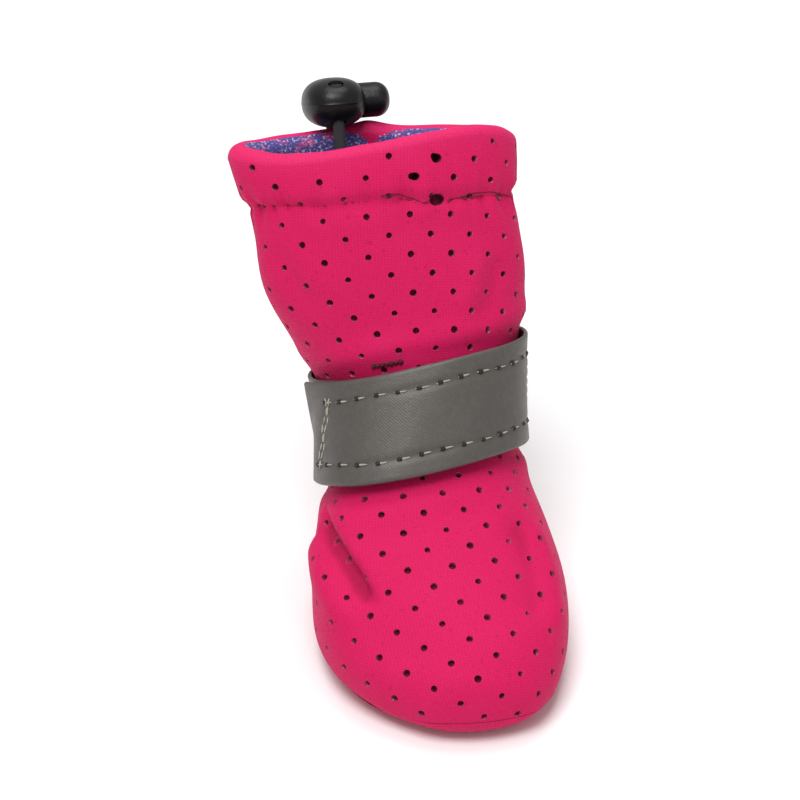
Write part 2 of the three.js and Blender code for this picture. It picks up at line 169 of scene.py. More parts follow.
class Shader:
    """A material under construction."""

    def __init__(self, name: str) -> None:
        """Start an empty node material with one Principled shader.

        Args:
            name: The material's name.
        """
        self.material = bpy.data.materials.new(name)
        self.material.use_nodes = True
        self.tree = self.material.node_tree
        self.tree.nodes.clear()
        self.surface = self.node("ShaderNodeBsdfPrincipled", {}, {})
        self.node("ShaderNodeOutputMaterial", {}, {"Surface": self.surface.outputs[0]})

    def node(
        self, kind: str, settings: Mapping[str, Any], inputs: Mapping[str | int, Any]
    ) -> bpy.types.Node:
        """Add a node.

        Args:
            kind: The node's type.
            settings: Properties that are set first.
            inputs: Values or links for its sockets.

        Returns:
            The node.
        """
        made = self.tree.nodes.new(kind)
        for name, value in settings.items():
            setattr(made, name, value)
        for name, value in inputs.items():
            self.feed(made.inputs[name], value)
        return made

    def feed(self, socket: bpy.types.NodeSocket, value: Any) -> None:
        """Link a socket, or set its value.

        Args:
            socket: The input socket.
            value: A value, or the socket or field that feeds it.
        """
        if isinstance(value, Field):
            value = value.socket
        if isinstance(value, bpy.types.NodeSocket):
            self.tree.links.new(value, socket)
        else:
            socket.default_value = value

    def out(self, node: bpy.types.Node, name: str | int = 0) -> Field:
        """One output of a node as a value."""
        return Field(self, node.outputs[name])

    def constants(self, values: Mapping[str, Any]) -> None:
        """Set the surface's own sockets."""
        for name, value in values.items():
            self.feed(self.surface.inputs[name], value)

    def object_place(self) -> bpy.types.NodeSocket:
        """Object coordinates."""
        return self.node("ShaderNodeTexCoord", {}, {}).outputs["Object"]

    def noise(self, place: Any, per_metre: float, detail: float = 2.0) -> Field:
        """Cloudy noise.

        Args:
            place: Coordinates in metres.
            per_metre: Cells in a metre.
            detail: Octaves.

        Returns:
            Values about one half.
        """
        made = self.node(
            "ShaderNodeTexNoise", {}, {"Vector": place, "Scale": per_metre, "Detail": detail}
        )
        return self.out(made)

    def attribute(self, name: str) -> Field:
        """A mesh attribute that holds one number."""
        made = self.node("ShaderNodeAttribute", {"attribute_name": name}, {})
        return self.out(made, "Fac")

    def panel_axes(self) -> tuple[Field, Field]:
        """The two distances of the piece's own flat pattern, in millimetres.

        Returns:
            The pattern's first and second axis.
        """
        flat = self.node("ShaderNodeUVMap", {"uv_map": PANEL}, {})
        axes = self.node("ShaderNodeSeparateXYZ", {}, {0: flat.outputs[0]})
        return self.out(axes, 0) * 1000.0, self.out(axes, 1) * 1000.0

    def mix(self, share: Field, first: Any, second: Any) -> bpy.types.NodeSocket:
        """Blend two colours.

        Args:
            share: How much of the second.
            first: Colour or link.
            second: Colour or link.

        Returns:
            The blended colour's socket.
        """
        colours = [(*c, 1.0) if isinstance(c, tuple) else c for c in (first, second)]
        made = self.node(
            "ShaderNodeMix", {"data_type": "RGBA"}, {0: share, 6: colours[0], 7: colours[1]}
        )
        return made.outputs[2]

    def relief(self, height: Field, distance: float, strength: float = 1.0) -> None:
        """Feed a height to the surface's normal through a Bump node.

        Args:
            height: Heights from about 0 to 1.
            distance: Height of 1 in metres.
            strength: Share of the bump that is used.
        """
        made = self.node(
            "ShaderNodeBump", {}, {"Height": height, "Distance": distance, "Strength": strength}
        )
        self.feed(self.surface.inputs["Normal"], made.outputs[0])


def knit(shader: Shader, wale: float, course: float) -> Field:
    """Height of a jersey knit on the flat pattern.

    Args:
        shader: The material.
        wale: Width of a column of loops in millimetres.
        course: Height of a row of loops in millimetres.

    Returns:
        Heights from about 0 to 1.
    """
    across, along = shader.panel_axes()
    column = (across * (1.0 / wale)).fraction() - 0.5
    slant = column.absolute() * 0.9
    loop = ((along * (1.0 / course) + slant) * (2.0 * math.pi)).sine() * 0.25 + 0.5
    return loop + (0.25 - column.absolute()) * 0.9


@dataclass(frozen=True)
class FoamKnit:
    """Knit-faced foam rubber."""

    name: str
    colour: Colour = (0.63, 0.0058, 0.098)
    pale: Colour = (0.74, 0.032, 0.17)
    # The deep colour serves the painted shade in knit valleys and creases, and the random dark flecks.
    deep: Colour = (0.27, 0.0015, 0.034)
    wale: float = 0.52
    course: float = 0.46

    def make(self) -> bpy.types.Material:
        """Build the material.

        Returns:
            The material.
        """
        shader = Shader(self.name)
        place = shader.object_place()
        loops = knit(shader, self.wale, self.course)
        cloud = shader.noise(place, 110.0, 3.0)
        speck = shader.noise(place, 1900.0, 1.0)
        wear_and_highlight = shader.attribute("rim_wear")
        sunk = shader.attribute(PAINTED_SHADE)
        base = shader.mix(cloud.ramp(0.35, 0.75) * 0.12, self.colour, self.pale)
        # Painted shade: the knit's valleys between the loops are darkened towards the deep colour.
        base = shader.mix((1.0 - loops).ramp(0.35, 0.95) * 0.30, base, self.deep)
        base = shader.mix(speck.ramp(0.56, 0.75) * 0.14, base, self.pale)
        fleck = shader.noise(place, 1150.0, 3.0)
        base = shader.mix(fleck.ramp(0.60, 0.74) * 0.35, base, self.deep)
        # Paler hem top and rim: partly rubbed wear, partly painted highlight.
        base = shader.mix(wear_and_highlight * (0.2 + speck * 0.5), base, self.pale)
        # Painted shade: creases are darkened towards the deep colour by how deep they sink.
        base = shader.mix(sunk.ramp(0.0, 0.9) * 0.6, base, self.deep)
        rough = 0.66 + cloud * 0.2 - wear_and_highlight * 0.12
        shader.constants({"Base Color": base, "Roughness": rough})
        shader.constants({"Sheen Weight": 0.05, "Sheen Roughness": 0.4, "Specular IOR Level": 0.2})
        shader.constants({"Sheen Tint": (1.0, 0.55, 0.8, 1.0)})
        shader.relief(loops + cloud * 0.5 + speck * 0.5, 0.07 * MM, 0.8)
        return shader.material


@dataclass(frozen=True)
class LiningKnit:
    """Melange jersey inside the boot."""

    name: str = "melange_lining"
    ground: Colour = (0.075, 0.055, 0.27)
    light: Colour = (0.62, 0.55, 0.72)
    warm: Colour = (0.62, 0.06, 0.24)

    def make(self) -> bpy.types.Material:
        """Build the material.

        Returns:
            The material.
        """
        shader = Shader(self.name)
        place = shader.object_place()
        loops = knit(shader, 0.75, 0.65)
        fleck = shader.noise(place, 2100.0, 2.0)
        patch = shader.noise(place, 420.0, 2.0)
        base = shader.mix(patch.ramp(0.53, 0.68) * 0.75, self.ground, self.warm)
        base = shader.mix(fleck.ramp(0.55, 0.66) * 0.7, base, self.light)
        shader.constants({"Base Color": base, "Roughness": 0.75 + fleck * 0.2})
        shader.constants({"Sheen Weight": 0.25, "Sheen Roughness": 0.5})
        shader.relief(loops + fleck, 0.12 * MM)
        return shader.material


@dataclass(frozen=True)
class HoleFoamAndShade:
    """Cut foam in a perforation. With its own colours it is the floor of a blind hole, whose dark
    colour is painted shade of the hole's depth, with lighter patches mixed in by noise.
    """

    name: str = "perforation_floor"
    dark: Colour = (0.15, 0.003, 0.03)
    lit: Colour = (0.45, 0.05, 0.14)

    def make(self) -> bpy.types.Material:
        """Build the material.

        Returns:
            The material.
        """
        shader = Shader(self.name)
        cells = shader.noise(shader.object_place(), 2600.0, 2.0)
        base = shader.mix(cells.ramp(0.45, 0.75) * 0.55, self.dark, self.lit)
        shader.constants({"Base Color": base, "Roughness": 0.85 + cells * 0.1})
        shader.relief(cells, 0.08 * MM)
        return shader.material


HOLE_WALL = HoleFoamAndShade("perforation_wall", (0.42, 0.03, 0.12), (0.85, 0.42, 0.52))


@dataclass(frozen=True)
class ReflectiveTape:
    """Grey glass-bead tape on a fine plain weave."""

    name: str = "reflective_tape"
    colour: Colour = (0.205, 0.184, 0.164)
    dark: Colour = (0.080, 0.071, 0.064)
    light: Colour = (0.40, 0.37, 0.335)

    def make(self) -> bpy.types.Material:
        """Build the material.

        Returns:
            The material.
        """
        shader = Shader(self.name)
        place = shader.object_place()
        along, across = shader.panel_axes()
        warp = (along * (2.0 * math.pi / 0.55)).sine()
        weft = (across * (2.0 * math.pi / 0.55)).sine()
        weave = warp * weft
        bead = shader.noise(place, 2600.0, 1.0)
        rub = shader.noise(place, 300.0, 4.0)
        grain = shader.noise(place, 900.0, 3.0)
        sunk = shader.attribute(PAINTED_SHADE)
        edge = across.absolute().ramp(9.1, 9.9)
        base = shader.mix(rub.ramp(0.38, 0.68) * 0.6, self.colour, self.dark)
        base = shader.mix(grain.ramp(0.45, 0.7) * 0.55, base, self.light)
        base = shader.mix(bead.ramp(0.54, 0.68) * 0.6, base, self.light)
        base = shader.mix(edge * grain * 0.9, base, self.light)
        base = shader.mix(weave.ramp(-1.0, -0.2) * 0.1, self.dark, base)
        # Painted shade: the tape is darkened where the stitching pulls its face in.
        base = shader.mix(sunk.ramp(0.1, 1.0) * 0.6, base, self.dark)
        shader.constants({"Base Color": base, "Roughness": 0.36 + rub * 0.24, "Metallic": 0.22})
        shader.relief(weave * 0.25 + bead * 0.8 + rub * 0.6, 0.045 * MM)
        return shader.material


@dataclass(frozen=True)
class SewingThread:
    """Twisted sewing thread, also used for the dark blobs of painted shade in the needle holes."""

    name: str
    colour: Colour
    dark: Colour

    def make(self) -> bpy.types.Material:
        """Build the material.

        Returns:
            The material.
        """
        shader = Shader(self.name)
        place = shader.object_place()
        axes = shader.node("ShaderNodeSeparateXYZ", {}, {0: place})
        total = shader.out(axes, 0) + shader.out(axes, 1) + shader.out(axes, 2)
        ply = (total * (2.0 * math.pi / (0.32 * MM))).sine()
        fuzz = shader.noise(place, 3000.0, 2.0)
        base = shader.mix(ply.ramp(-1.0, 0.3), self.dark, self.colour)
        base = shader.mix(fuzz.ramp(0.5, 0.8) * 0.4, base, self.dark)
        shader.constants({"Base Color": base, "Roughness": 0.55 + fuzz * 0.3})
        shader.relief(ply * 0.5 + fuzz, 0.06 * MM)
        return shader.material


PALE_THREAD = SewingThread("pale_thread", (0.50, 0.475, 0.40), (0.23, 0.215, 0.18))
# Painted shade: dark blobs sunk into the tape stand for the shade inside its needle holes.
NEEDLE_HOLE_SHADE = SewingThread("needle_holes", (0.02, 0.017, 0.015), (0.008, 0.007, 0.006))
TACK_THREAD = SewingThread("dark_thread", (0.10, 0.008, 0.022), (0.03, 0.002, 0.006))
SEAM_THREAD = SewingThread("seam_thread", (0.40, 0.004, 0.05), (0.13, 0.002, 0.018))
LOOSE_THREAD = SewingThread("loose_thread", (0.13, 0.006, 0.03), (0.05, 0.003, 0.012))


@dataclass(frozen=True)
class MouldedPlastic:
    """Half-gloss black moulded plastic with handling marks."""

    name: str = "lock_plastic"
    colour: Colour = (0.006, 0.006, 0.0065)
    scuff: Colour = (0.022, 0.0215, 0.0225)

    def make(self) -> bpy.types.Material:
        """Build the material.

        Returns:
            The material.
        """
        shader = Shader(self.name)
        place = shader.object_place()
        peel = shader.noise(place, 1500.0, 2.0)
        marks = shader.noise(place, 320.0, 5.0)
        base = shader.mix(marks.ramp(0.52, 0.72) * 0.55, self.colour, self.scuff)
        shader.constants({"Base Color": base, "Roughness": 0.27 + marks * 0.22})
        shader.constants({"Specular IOR Level": 0.3})
        shader.relief(peel + marks * 0.5, 0.05 * MM)
        return shader.material


@dataclass(frozen=True)
class BraidedElastic:
    """Black braided elastic cord."""

    name: str = "elastic_braid"
    colour: Colour = (0.022, 0.021, 0.024)
    sheen: Colour = (0.075, 0.072, 0.078)

    def make(self) -> bpy.types.Material:
        """Build the material.

        Returns:
            The material.
        """
        shader = Shader(self.name)
        along, round_ = shader.panel_axes()
        left = ((along + round_) * (2.0 * math.pi / 0.62)).sine()
        right = ((along - round_) * (2.0 * math.pi / 0.62)).sine()
        fuzz = shader.noise(shader.object_place(), 3000.0, 2.0)
        strands = left.absolute() * right.absolute()
        base = shader.mix(strands.ramp(0.15, 0.8) * 0.8, self.colour, self.sheen)
        shader.constants({"Base Color": base, "Roughness": 0.6 + fuzz * 0.25})
        shader.relief(strands + fuzz * 0.4, 0.1 * MM)
        return shader.material


@dataclass(frozen=True)
class HookTape:
    """Stiff black tape with rows of hooks."""

    name: str = "hook_tape"
    colour: Colour = (0.02, 0.02, 0.022)
    glint: Colour = (0.10, 0.10, 0.105)

    def make(self) -> bpy.types.Material:
        """Build the material.

        Returns:
            The material.
        """
        shader = Shader(self.name)
        along, across = shader.panel_axes()
        rows = (across * (2.0 * math.pi / 1.1)).sine() * (along * (2.0 * math.pi / 1.3)).sine()
        fuzz = shader.noise(shader.object_place(), 2200.0, 2.0)
        base = shader.mix(rows.ramp(0.1, 0.8) * fuzz, self.colour, self.glint)
        shader.constants({"Base Color": base, "Roughness": 0.5 + fuzz * 0.3})
        shader.relief(rows + fuzz * 0.5, 0.2 * MM)
        return shader.material


@dataclass(frozen=True)
class StudioFloor:
    """Smooth pale card."""

    name: str = "pale_floor"
    colour: Colour = (0.93, 0.93, 0.93)
    tone: Colour = (0.90, 0.90, 0.905)

    def make(self) -> bpy.types.Material:
        """Build the material.

        Returns:
            The material.
        """
        shader = Shader(self.name)
        cloud = shader.noise(shader.object_place(), 30.0, 3.0)
        shader.constants({"Base Color": shader.mix(cloud, self.colour, self.tone), "Roughness": 0.75})
        return shader.material


class Tree:
    """A Geometry Nodes tree under construction."""

    def __init__(self, name: str) -> None:
        """Start a tree that takes and gives one geometry.

        Args:
            name: The tree's name.
        """
        self.group = bpy.data.node_groups.new(name, "GeometryNodeTree")
        self.group.interface.new_socket("Geometry", in_out="INPUT", socket_type="NodeSocketGeometry")
        self.group.interface.new_socket("Geometry", in_out="OUTPUT", socket_type="NodeSocketGeometry")
        self.entry = self.group.nodes.new("NodeGroupInput")
        self.exit = self.group.nodes.new("NodeGroupOutput")

    @property
    def geometry(self) -> bpy.types.NodeSocket:
        """The incoming geometry."""
        return self.entry.outputs[0]

    def size(self, name: str, kind: str = "Float") -> bpy.types.NodeSocket:
        """Add a named input and give its socket inside the tree."""
        self.group.interface.new_socket(name, in_out="INPUT", socket_type="NodeSocket" + kind)
        return self.entry.outputs[name]

    def node(
        self, kind: str, settings: Mapping[str, Any], inputs: Mapping[str | int, Any]
    ) -> bpy.types.Node:
        """Add a node.

        Args:
            kind: The node's type, without its common prefix where it is a geometry node.
            settings: Properties that are set first.
            inputs: Values, links or lists of links for its sockets.

        Returns:
            The node.
        """
        full = kind if kind.startswith(("Function", "Shader")) else "GeometryNode" + kind
        made = self.group.nodes.new(full)
        for name, value in settings.items():
            setattr(made, name, value)
        for name, value in inputs.items():
            for one in value if isinstance(value, list) else [value]:
                if isinstance(one, bpy.types.NodeSocket):
                    self.group.links.new(one, made.inputs[name])
                else:
                    made.inputs[name].default_value = one
        return made

    def give(
        self, kind: str, settings: Mapping[str, Any], inputs: Mapping[str | int, Any],
        output: str | int = 0,
    ) -> bpy.types.NodeSocket:
        """Add a node and give one of its outputs.

        Args:
            kind: The node's type, as for node.
            settings: Properties that are set first.
            inputs: Values, links or lists of links for its sockets.
            output: Name or number of the output.

        Returns:
            The output's socket.
        """
        return self.node(kind, settings, inputs).outputs[output]

    def close(self, result: bpy.types.NodeSocket) -> None:
        """Link the result to the tree's output."""
        self.group.links.new(result, self.exit.inputs[0])

    def carry_out(self, piece: bpy.types.Object, values: Mapping[str, Any]) -> None:
        """Run the tree on a piece and keep the result as its plain mesh.

        Args:
            piece: The object whose mesh is worked.
            values: The named inputs' values.
        """
        modifier = piece.modifiers.new(self.group.name, "NODES")
        modifier.node_group = self.group
        for item in self.group.interface.items_tree:
            if item.in_out == "INPUT" and item.name in values:
                modifier[item.identifier] = values[item.name]
        bpy.context.view_layer.update()
        graph = bpy.context.evaluated_depsgraph_get()
        mesh = bpy.data.meshes.new_from_object(piece.evaluated_get(graph), depsgraph=graph)
        piece.modifiers.remove(modifier)
        old = piece.data
        piece.data = mesh
        mesh.name = piece.name
        bpy.data.meshes.remove(old)


def link(name: str, data: bpy.types.ID) -> bpy.types.Object:
    """Make an object of a mesh, light or camera and put it in the scene.

    Args:
        name: The object's name.
        data: What it shows.

    Returns:
        The linked object.
    """
    made = bpy.data.objects.new(name, data)
    bpy.context.scene.collection.objects.link(made)
    return made


def new_piece(name: str, points: np.ndarray, faces: Sequence[Sequence[int]]) -> bpy.types.Object:
    """Make an object at the origin from points and faces.

    Args:
        name: The piece's name.
        points: Corners in metres.
        faces: Corner numbers of each face.

    Returns:
        The linked object.
    """
    mesh = bpy.data.meshes.new(name)
    mesh.from_pydata([tuple(p) for p in np.asarray(points, float)], [], faces)
    mesh.update()
    return link(name, mesh)


def discard(piece: bpy.types.Object) -> None:
    """Remove a helper object and its mesh.

    Args:
        piece: The helper.
    """
    mesh = piece.data
    bpy.data.objects.remove(piece)
    bpy.data.meshes.remove(mesh)


def face_outwards(piece: bpy.types.Object) -> None:
    """Turn a closed mesh right side out.

    Args:
        piece: The closed piece.
    """
    work = bmesh.new()
    work.from_mesh(piece.data)
    bmesh.ops.recalc_face_normals(work, faces=work.faces)
    if work.calc_volume(signed=True) < 0:
        bmesh.ops.reverse_faces(work, faces=work.faces)
    work.to_mesh(piece.data)
    work.free()


def smooth(piece: bpy.types.Object, degrees: float = 45.0) -> None:
    """Shade a mesh smooth apart from its sharp edges.

    Args:
        piece: The piece.
        degrees: Angle above which an edge stays sharp.
    """
    mesh = piece.data
    mesh.polygons.foreach_set("use_smooth", [True] * len(mesh.polygons))
    mesh.set_sharp_from_angle(angle=math.radians(degrees))


def settle(
    piece: bpy.types.Object, body: Body, replaced: Sequence[str] = ()
) -> None:
    """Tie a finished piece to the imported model.

    Args:
        piece: The piece.
        body: The body that it rides on.
        replaced: CAD nodes that it stands for.
    """
    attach(piece, body.value)
    if replaced:
        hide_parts(*replaced)
    LOG.info("%s: %d faces on %s", piece.name, len(piece.data.polygons), body.value)


def ring_faces(rings: int, round_: int, closed: bool = True) -> list[tuple[int, int, int, int]]:
    """Quads between rings of points.

    Args:
        rings: Number of rings.
        round_: Points in each ring.
        closed: Whether each ring joins up.

    Returns:
        Corner numbers.
    """
    last = round_ if closed else round_ - 1
    return [
        (r * round_ + j, r * round_ + (j + 1) % round_,
         (r + 1) * round_ + (j + 1) % round_, (r + 1) * round_ + j)
        for r in range(rings - 1) for j in range(last)
    ]


def end_fans(count: int, round_: int, start: int, ends: tuple[int, int]) -> list[tuple[int, int, int]]:
    """Triangles that close the first and last of several rings.

    Args:
        count: Number of rings.
        round_: Points in each ring.
        start: Number of the first ring's first point.
        ends: Numbers of the points that close the first and the last ring.

    Returns:
        Corner numbers, the first end's triangles first.
    """
    base = start + (count - 1) * round_
    first = [(ends[0], start + (j + 1) % round_, start + j) for j in range(round_)]
    return first + [(ends[1], base + j, base + (j + 1) % round_) for j in range(round_)]


def set_panel(piece: bpy.types.Object, corners: np.ndarray) -> None:
    """Give a mesh its flat-pattern coordinates, one pair for each face corner."""
    layer = piece.data.uv_layers.get(PANEL) or piece.data.uv_layers.new(name=PANEL)
    layer.data.foreach_set("uv", np.asarray(corners, np.float32).ravel())


def set_number(piece: bpy.types.Object, name: str, values: np.ndarray) -> None:
    """Give a mesh one number for each point."""
    layer = piece.data.attributes.new(name, "FLOAT", "POINT")
    layer.data.foreach_set("value", np.asarray(values, np.float32).ravel())


def corner_points(piece: bpy.types.Object) -> np.ndarray:
    """The point number of each face corner.

    Args:
        piece: The piece.

    Returns:
        One number for each corner.
    """
    found = np.zeros(len(piece.data.loops), np.int32)
    piece.data.loops.foreach_get("vertex_index", found)
    return found


@dataclass
class Last:
    """The form that the boot is sewn to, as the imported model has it, in metres.

    Each row holds front along and up, back along and up, width, widest, the two powers and the sway.
    """

    sole_length: float = 64 * MM
    ball_width: float = 46 * MM
    collar_height: float = 84 * MM
    lean: float = math.radians(25)
    centre_along: float = 16.8 * MM
    centre_side: float = -4.2 * MM
    toe_spring: float = 3 * MM
    spring_start: float = 46 * MM
    rows: np.ndarray = field(default_factory=lambda: np.array([
        [1.000, 0.070, 1.000, 0.070, 0.000, 0.50, 2.0, 2.0, 3.4],
        [0.978, 0.130, 0.978, 0.026, 0.360, 0.46, 2.0, 2.2, 3.1],
        [0.925, 0.172, 0.925, 0.007, 0.570, 0.42, 2.0, 2.5, 2.4],
        [0.838, 0.216, 0.838, -0.003, 0.775, 0.38, 2.1, 2.9, 1.4],
        [0.720, 0.270, 0.718, -0.007, 0.930, 0.36, 2.1, 3.2, 0.4],
        [0.588, 0.331, 0.562, -0.007, 1.000, 0.36, 2.2, 3.2, -0.3],
        [0.462, 0.390, 0.370, -0.007, 0.960, 0.38, 2.2, 3.1, -0.2],
        [0.354, 0.452, 0.130, -0.007, 0.850, 0.42, 2.2, 2.8, 0.7],
        [0.287, 0.530, -0.025, 0.065, 0.710, 0.46, 2.2, 2.5, 2.0],
        [0.238, 0.613, -0.088, 0.305, 0.780, 0.50, 2.2, 2.2, 1.0],
        [0.150, 0.762, -0.186, 0.556, 1.030, 0.50, 2.1, 2.1, -2.4],
        [0.064, 0.888, -0.270, 0.756, 1.030, 0.50, 2.0, 2.0, -3.8],
        [-0.008, 0.990, -0.318, 0.890, 1.100, 0.50, 1.9, 1.9, -5.0],
    ]))
    rim_waves: tuple[tuple[float, float, float], ...] = (
        (38, 34, -1.6), (-42, 30, 1.2), (-90, 24, -1.2), (170, 40, 0.8),
    )

    def __post_init__(self) -> None:
        """Carry the table on past both of its ends."""
        before = self.rows[1][[2, 3, 0, 1, 4, 5, 6, 7, 8]].copy()
        before[4] *= -1
        beyond = 2 * self.rows[-1] - self.rows[-2]
        self.table = np.vstack([before, self.rows, beyond])
        self.end = len(self.rows) - 1
        self.axis = np.array([0.0, math.sin(self.lean), math.cos(self.lean)])

    def place(self, side: float, along: float, up: float) -> np.ndarray:
        """A point from side, distance along the foot from the heel, and height."""
        return np.array([side - self.centre_side, self.centre_along - along, up])

    def section(self, station: np.ndarray) -> np.ndarray:
        """The table's columns at any station.

        Args:
            station: Stations, from 0 at the toe tip.

        Returns:
            One more axis of nine columns.
        """
        index = np.clip(np.floor(station).astype(int), 0, self.end - 1)
        share = (station - index)[..., None]
        a, b, c, d = (self.table[index + k] for k in range(4))
        bend = 2 * a - 5 * b + 4 * c - d + share * (3 * (b - c) + d - a)
        return b + 0.5 * share * (c - a + share * bend)

    def point(self, station: Any, angle: Any) -> np.ndarray:
        """Points of the form.

        Args:
            station: Stations from the toe tip.
            angle: Radians round the section from its front, positive to the wearer's right.

        Returns:
            Points in metres.
        """
        station, angle = np.broadcast_arrays(np.asarray(station, float), np.asarray(angle, float))
        row = self.section(station)
        cosine, sine = np.cos(angle), np.sin(angle)
        front = cosine >= 0
        power = np.where(front, row[..., 6], row[..., 7])
        reach = np.sign(cosine) * np.abs(cosine) ** (2 / power)
        spread = np.sign(sine) * np.abs(sine) ** (2 / power)
        widest = row[..., 5]
        share = widest + reach * np.where(front, 1 - widest, widest)
        side = row[..., 8] * MM - spread * row[..., 4] * self.ball_width / 2
        along = self.sole_length * (row[..., 2] + (row[..., 0] - row[..., 2]) * share)
        up = self.collar_height * (row[..., 3] + (row[..., 1] - row[..., 3]) * share)
        points = np.stack([side - self.centre_side, self.centre_along - along, up], -1)
        rise = np.zeros_like(angle)
        for where, width, height in self.rim_waves:
            away = (angle - math.radians(where) + math.pi) % (2 * math.pi) - math.pi
            rise = rise + height * MM * bump(away, math.radians(width))
        slack = smoothstep(station, self.end - 1.4, self.end)
        return points + (slack * rise)[..., None] * self.axis

    def normal(self, station: Any, angle: Any) -> np.ndarray:
        """Outward directions of the form.

        Args:
            station: Stations from the toe tip.
            angle: Radians round the section.

        Returns:
            Unit vectors.
        """
        station, angle = np.broadcast_arrays(np.asarray(station, float), np.asarray(angle, float))
        step = 1e-3
        low = np.maximum(station - step, step / 2)
        high = np.minimum(station + step, self.end)
        onward = self.point(high, angle) - self.point(low, angle)
        around = self.point(station, angle + step) - self.point(station, angle - step)
        found = np.cross(onward, around)
        return found / (np.linalg.norm(found, axis=-1, keepdims=True) + 1e-15)

    def offset(self, station: Any, angle: Any, distance: Any) -> np.ndarray:
        """Points at a distance outside the form."""
        away = np.asarray(distance, float)[..., None]
        return self.point(station, angle) + away * self.normal(station, angle)

    def lift(self, along: np.ndarray) -> np.ndarray:
        """How far the sole line lifts under the toe."""
        share = np.maximum(0.0, (along - self.spring_start) / (self.sole_length - self.spring_start))
        return self.toe_spring * share**2

    def slab(self, name: str, bottom: float, height: float) -> bpy.types.Object:
        """A block from a level up to a height above the sole line.

        Args:
            name: The helper's name.
            bottom: Its lowest level.
            height: Its top above the sole line.

        Returns:
            The helper object.
        """
        along = np.concatenate([[-self.sole_length], np.linspace(self.spring_start, 0.068, 13)])
        top = np.stack([along, height + self.lift(along)], -1)
        low = np.stack([along, np.full_like(along, bottom)], -1)
        profile = np.concatenate([low, top[::-1]])
        sides = [np.array([x, 0.0, 0.0]) for x in (-self.ball_width, self.ball_width)]
        flat = np.stack(
            [np.zeros(len(profile)), self.centre_along - profile[:, 0], profile[:, 1]], -1
        )
        count = len(profile)
        faces: list[Sequence[int]] = [
            (i, (i + 1) % count, count + (i + 1) % count, count + i) for i in range(count)
        ]
        half = len(along)
        for end in (0, count):
            for i in range(half - 1):
                faces.append((end + i, end + i + 1, end + count - 2 - i, end + count - 1 - i))
        made = new_piece(name, np.concatenate([flat + s for s in sides]), faces)
        face_outwards(made)
        return made


@dataclass(frozen=True)
class Fold:
    """A soft fold laid along stations and angles on the sock, sizes in millimetres."""

    path: tuple[tuple[float, float], ...]
    depth: float
    width: float
    ridge: float = 0.0
    ridge_away: float = 3.0
    ridge_width: float = 2.2
    sharp: float = 1.0
    ends: float = 0.2


@dataclass
class SockGrid:
    """The sock's closed shell: the outside's stations and heights, and all points and quads."""

    station: np.ndarray
    height: np.ndarray
    turned: np.ndarray
    points: np.ndarray
    quads: np.ndarray
    rings: int

    @property
    def outside(self) -> int:
        """Number of rings on the outside."""
        return len(self.station)


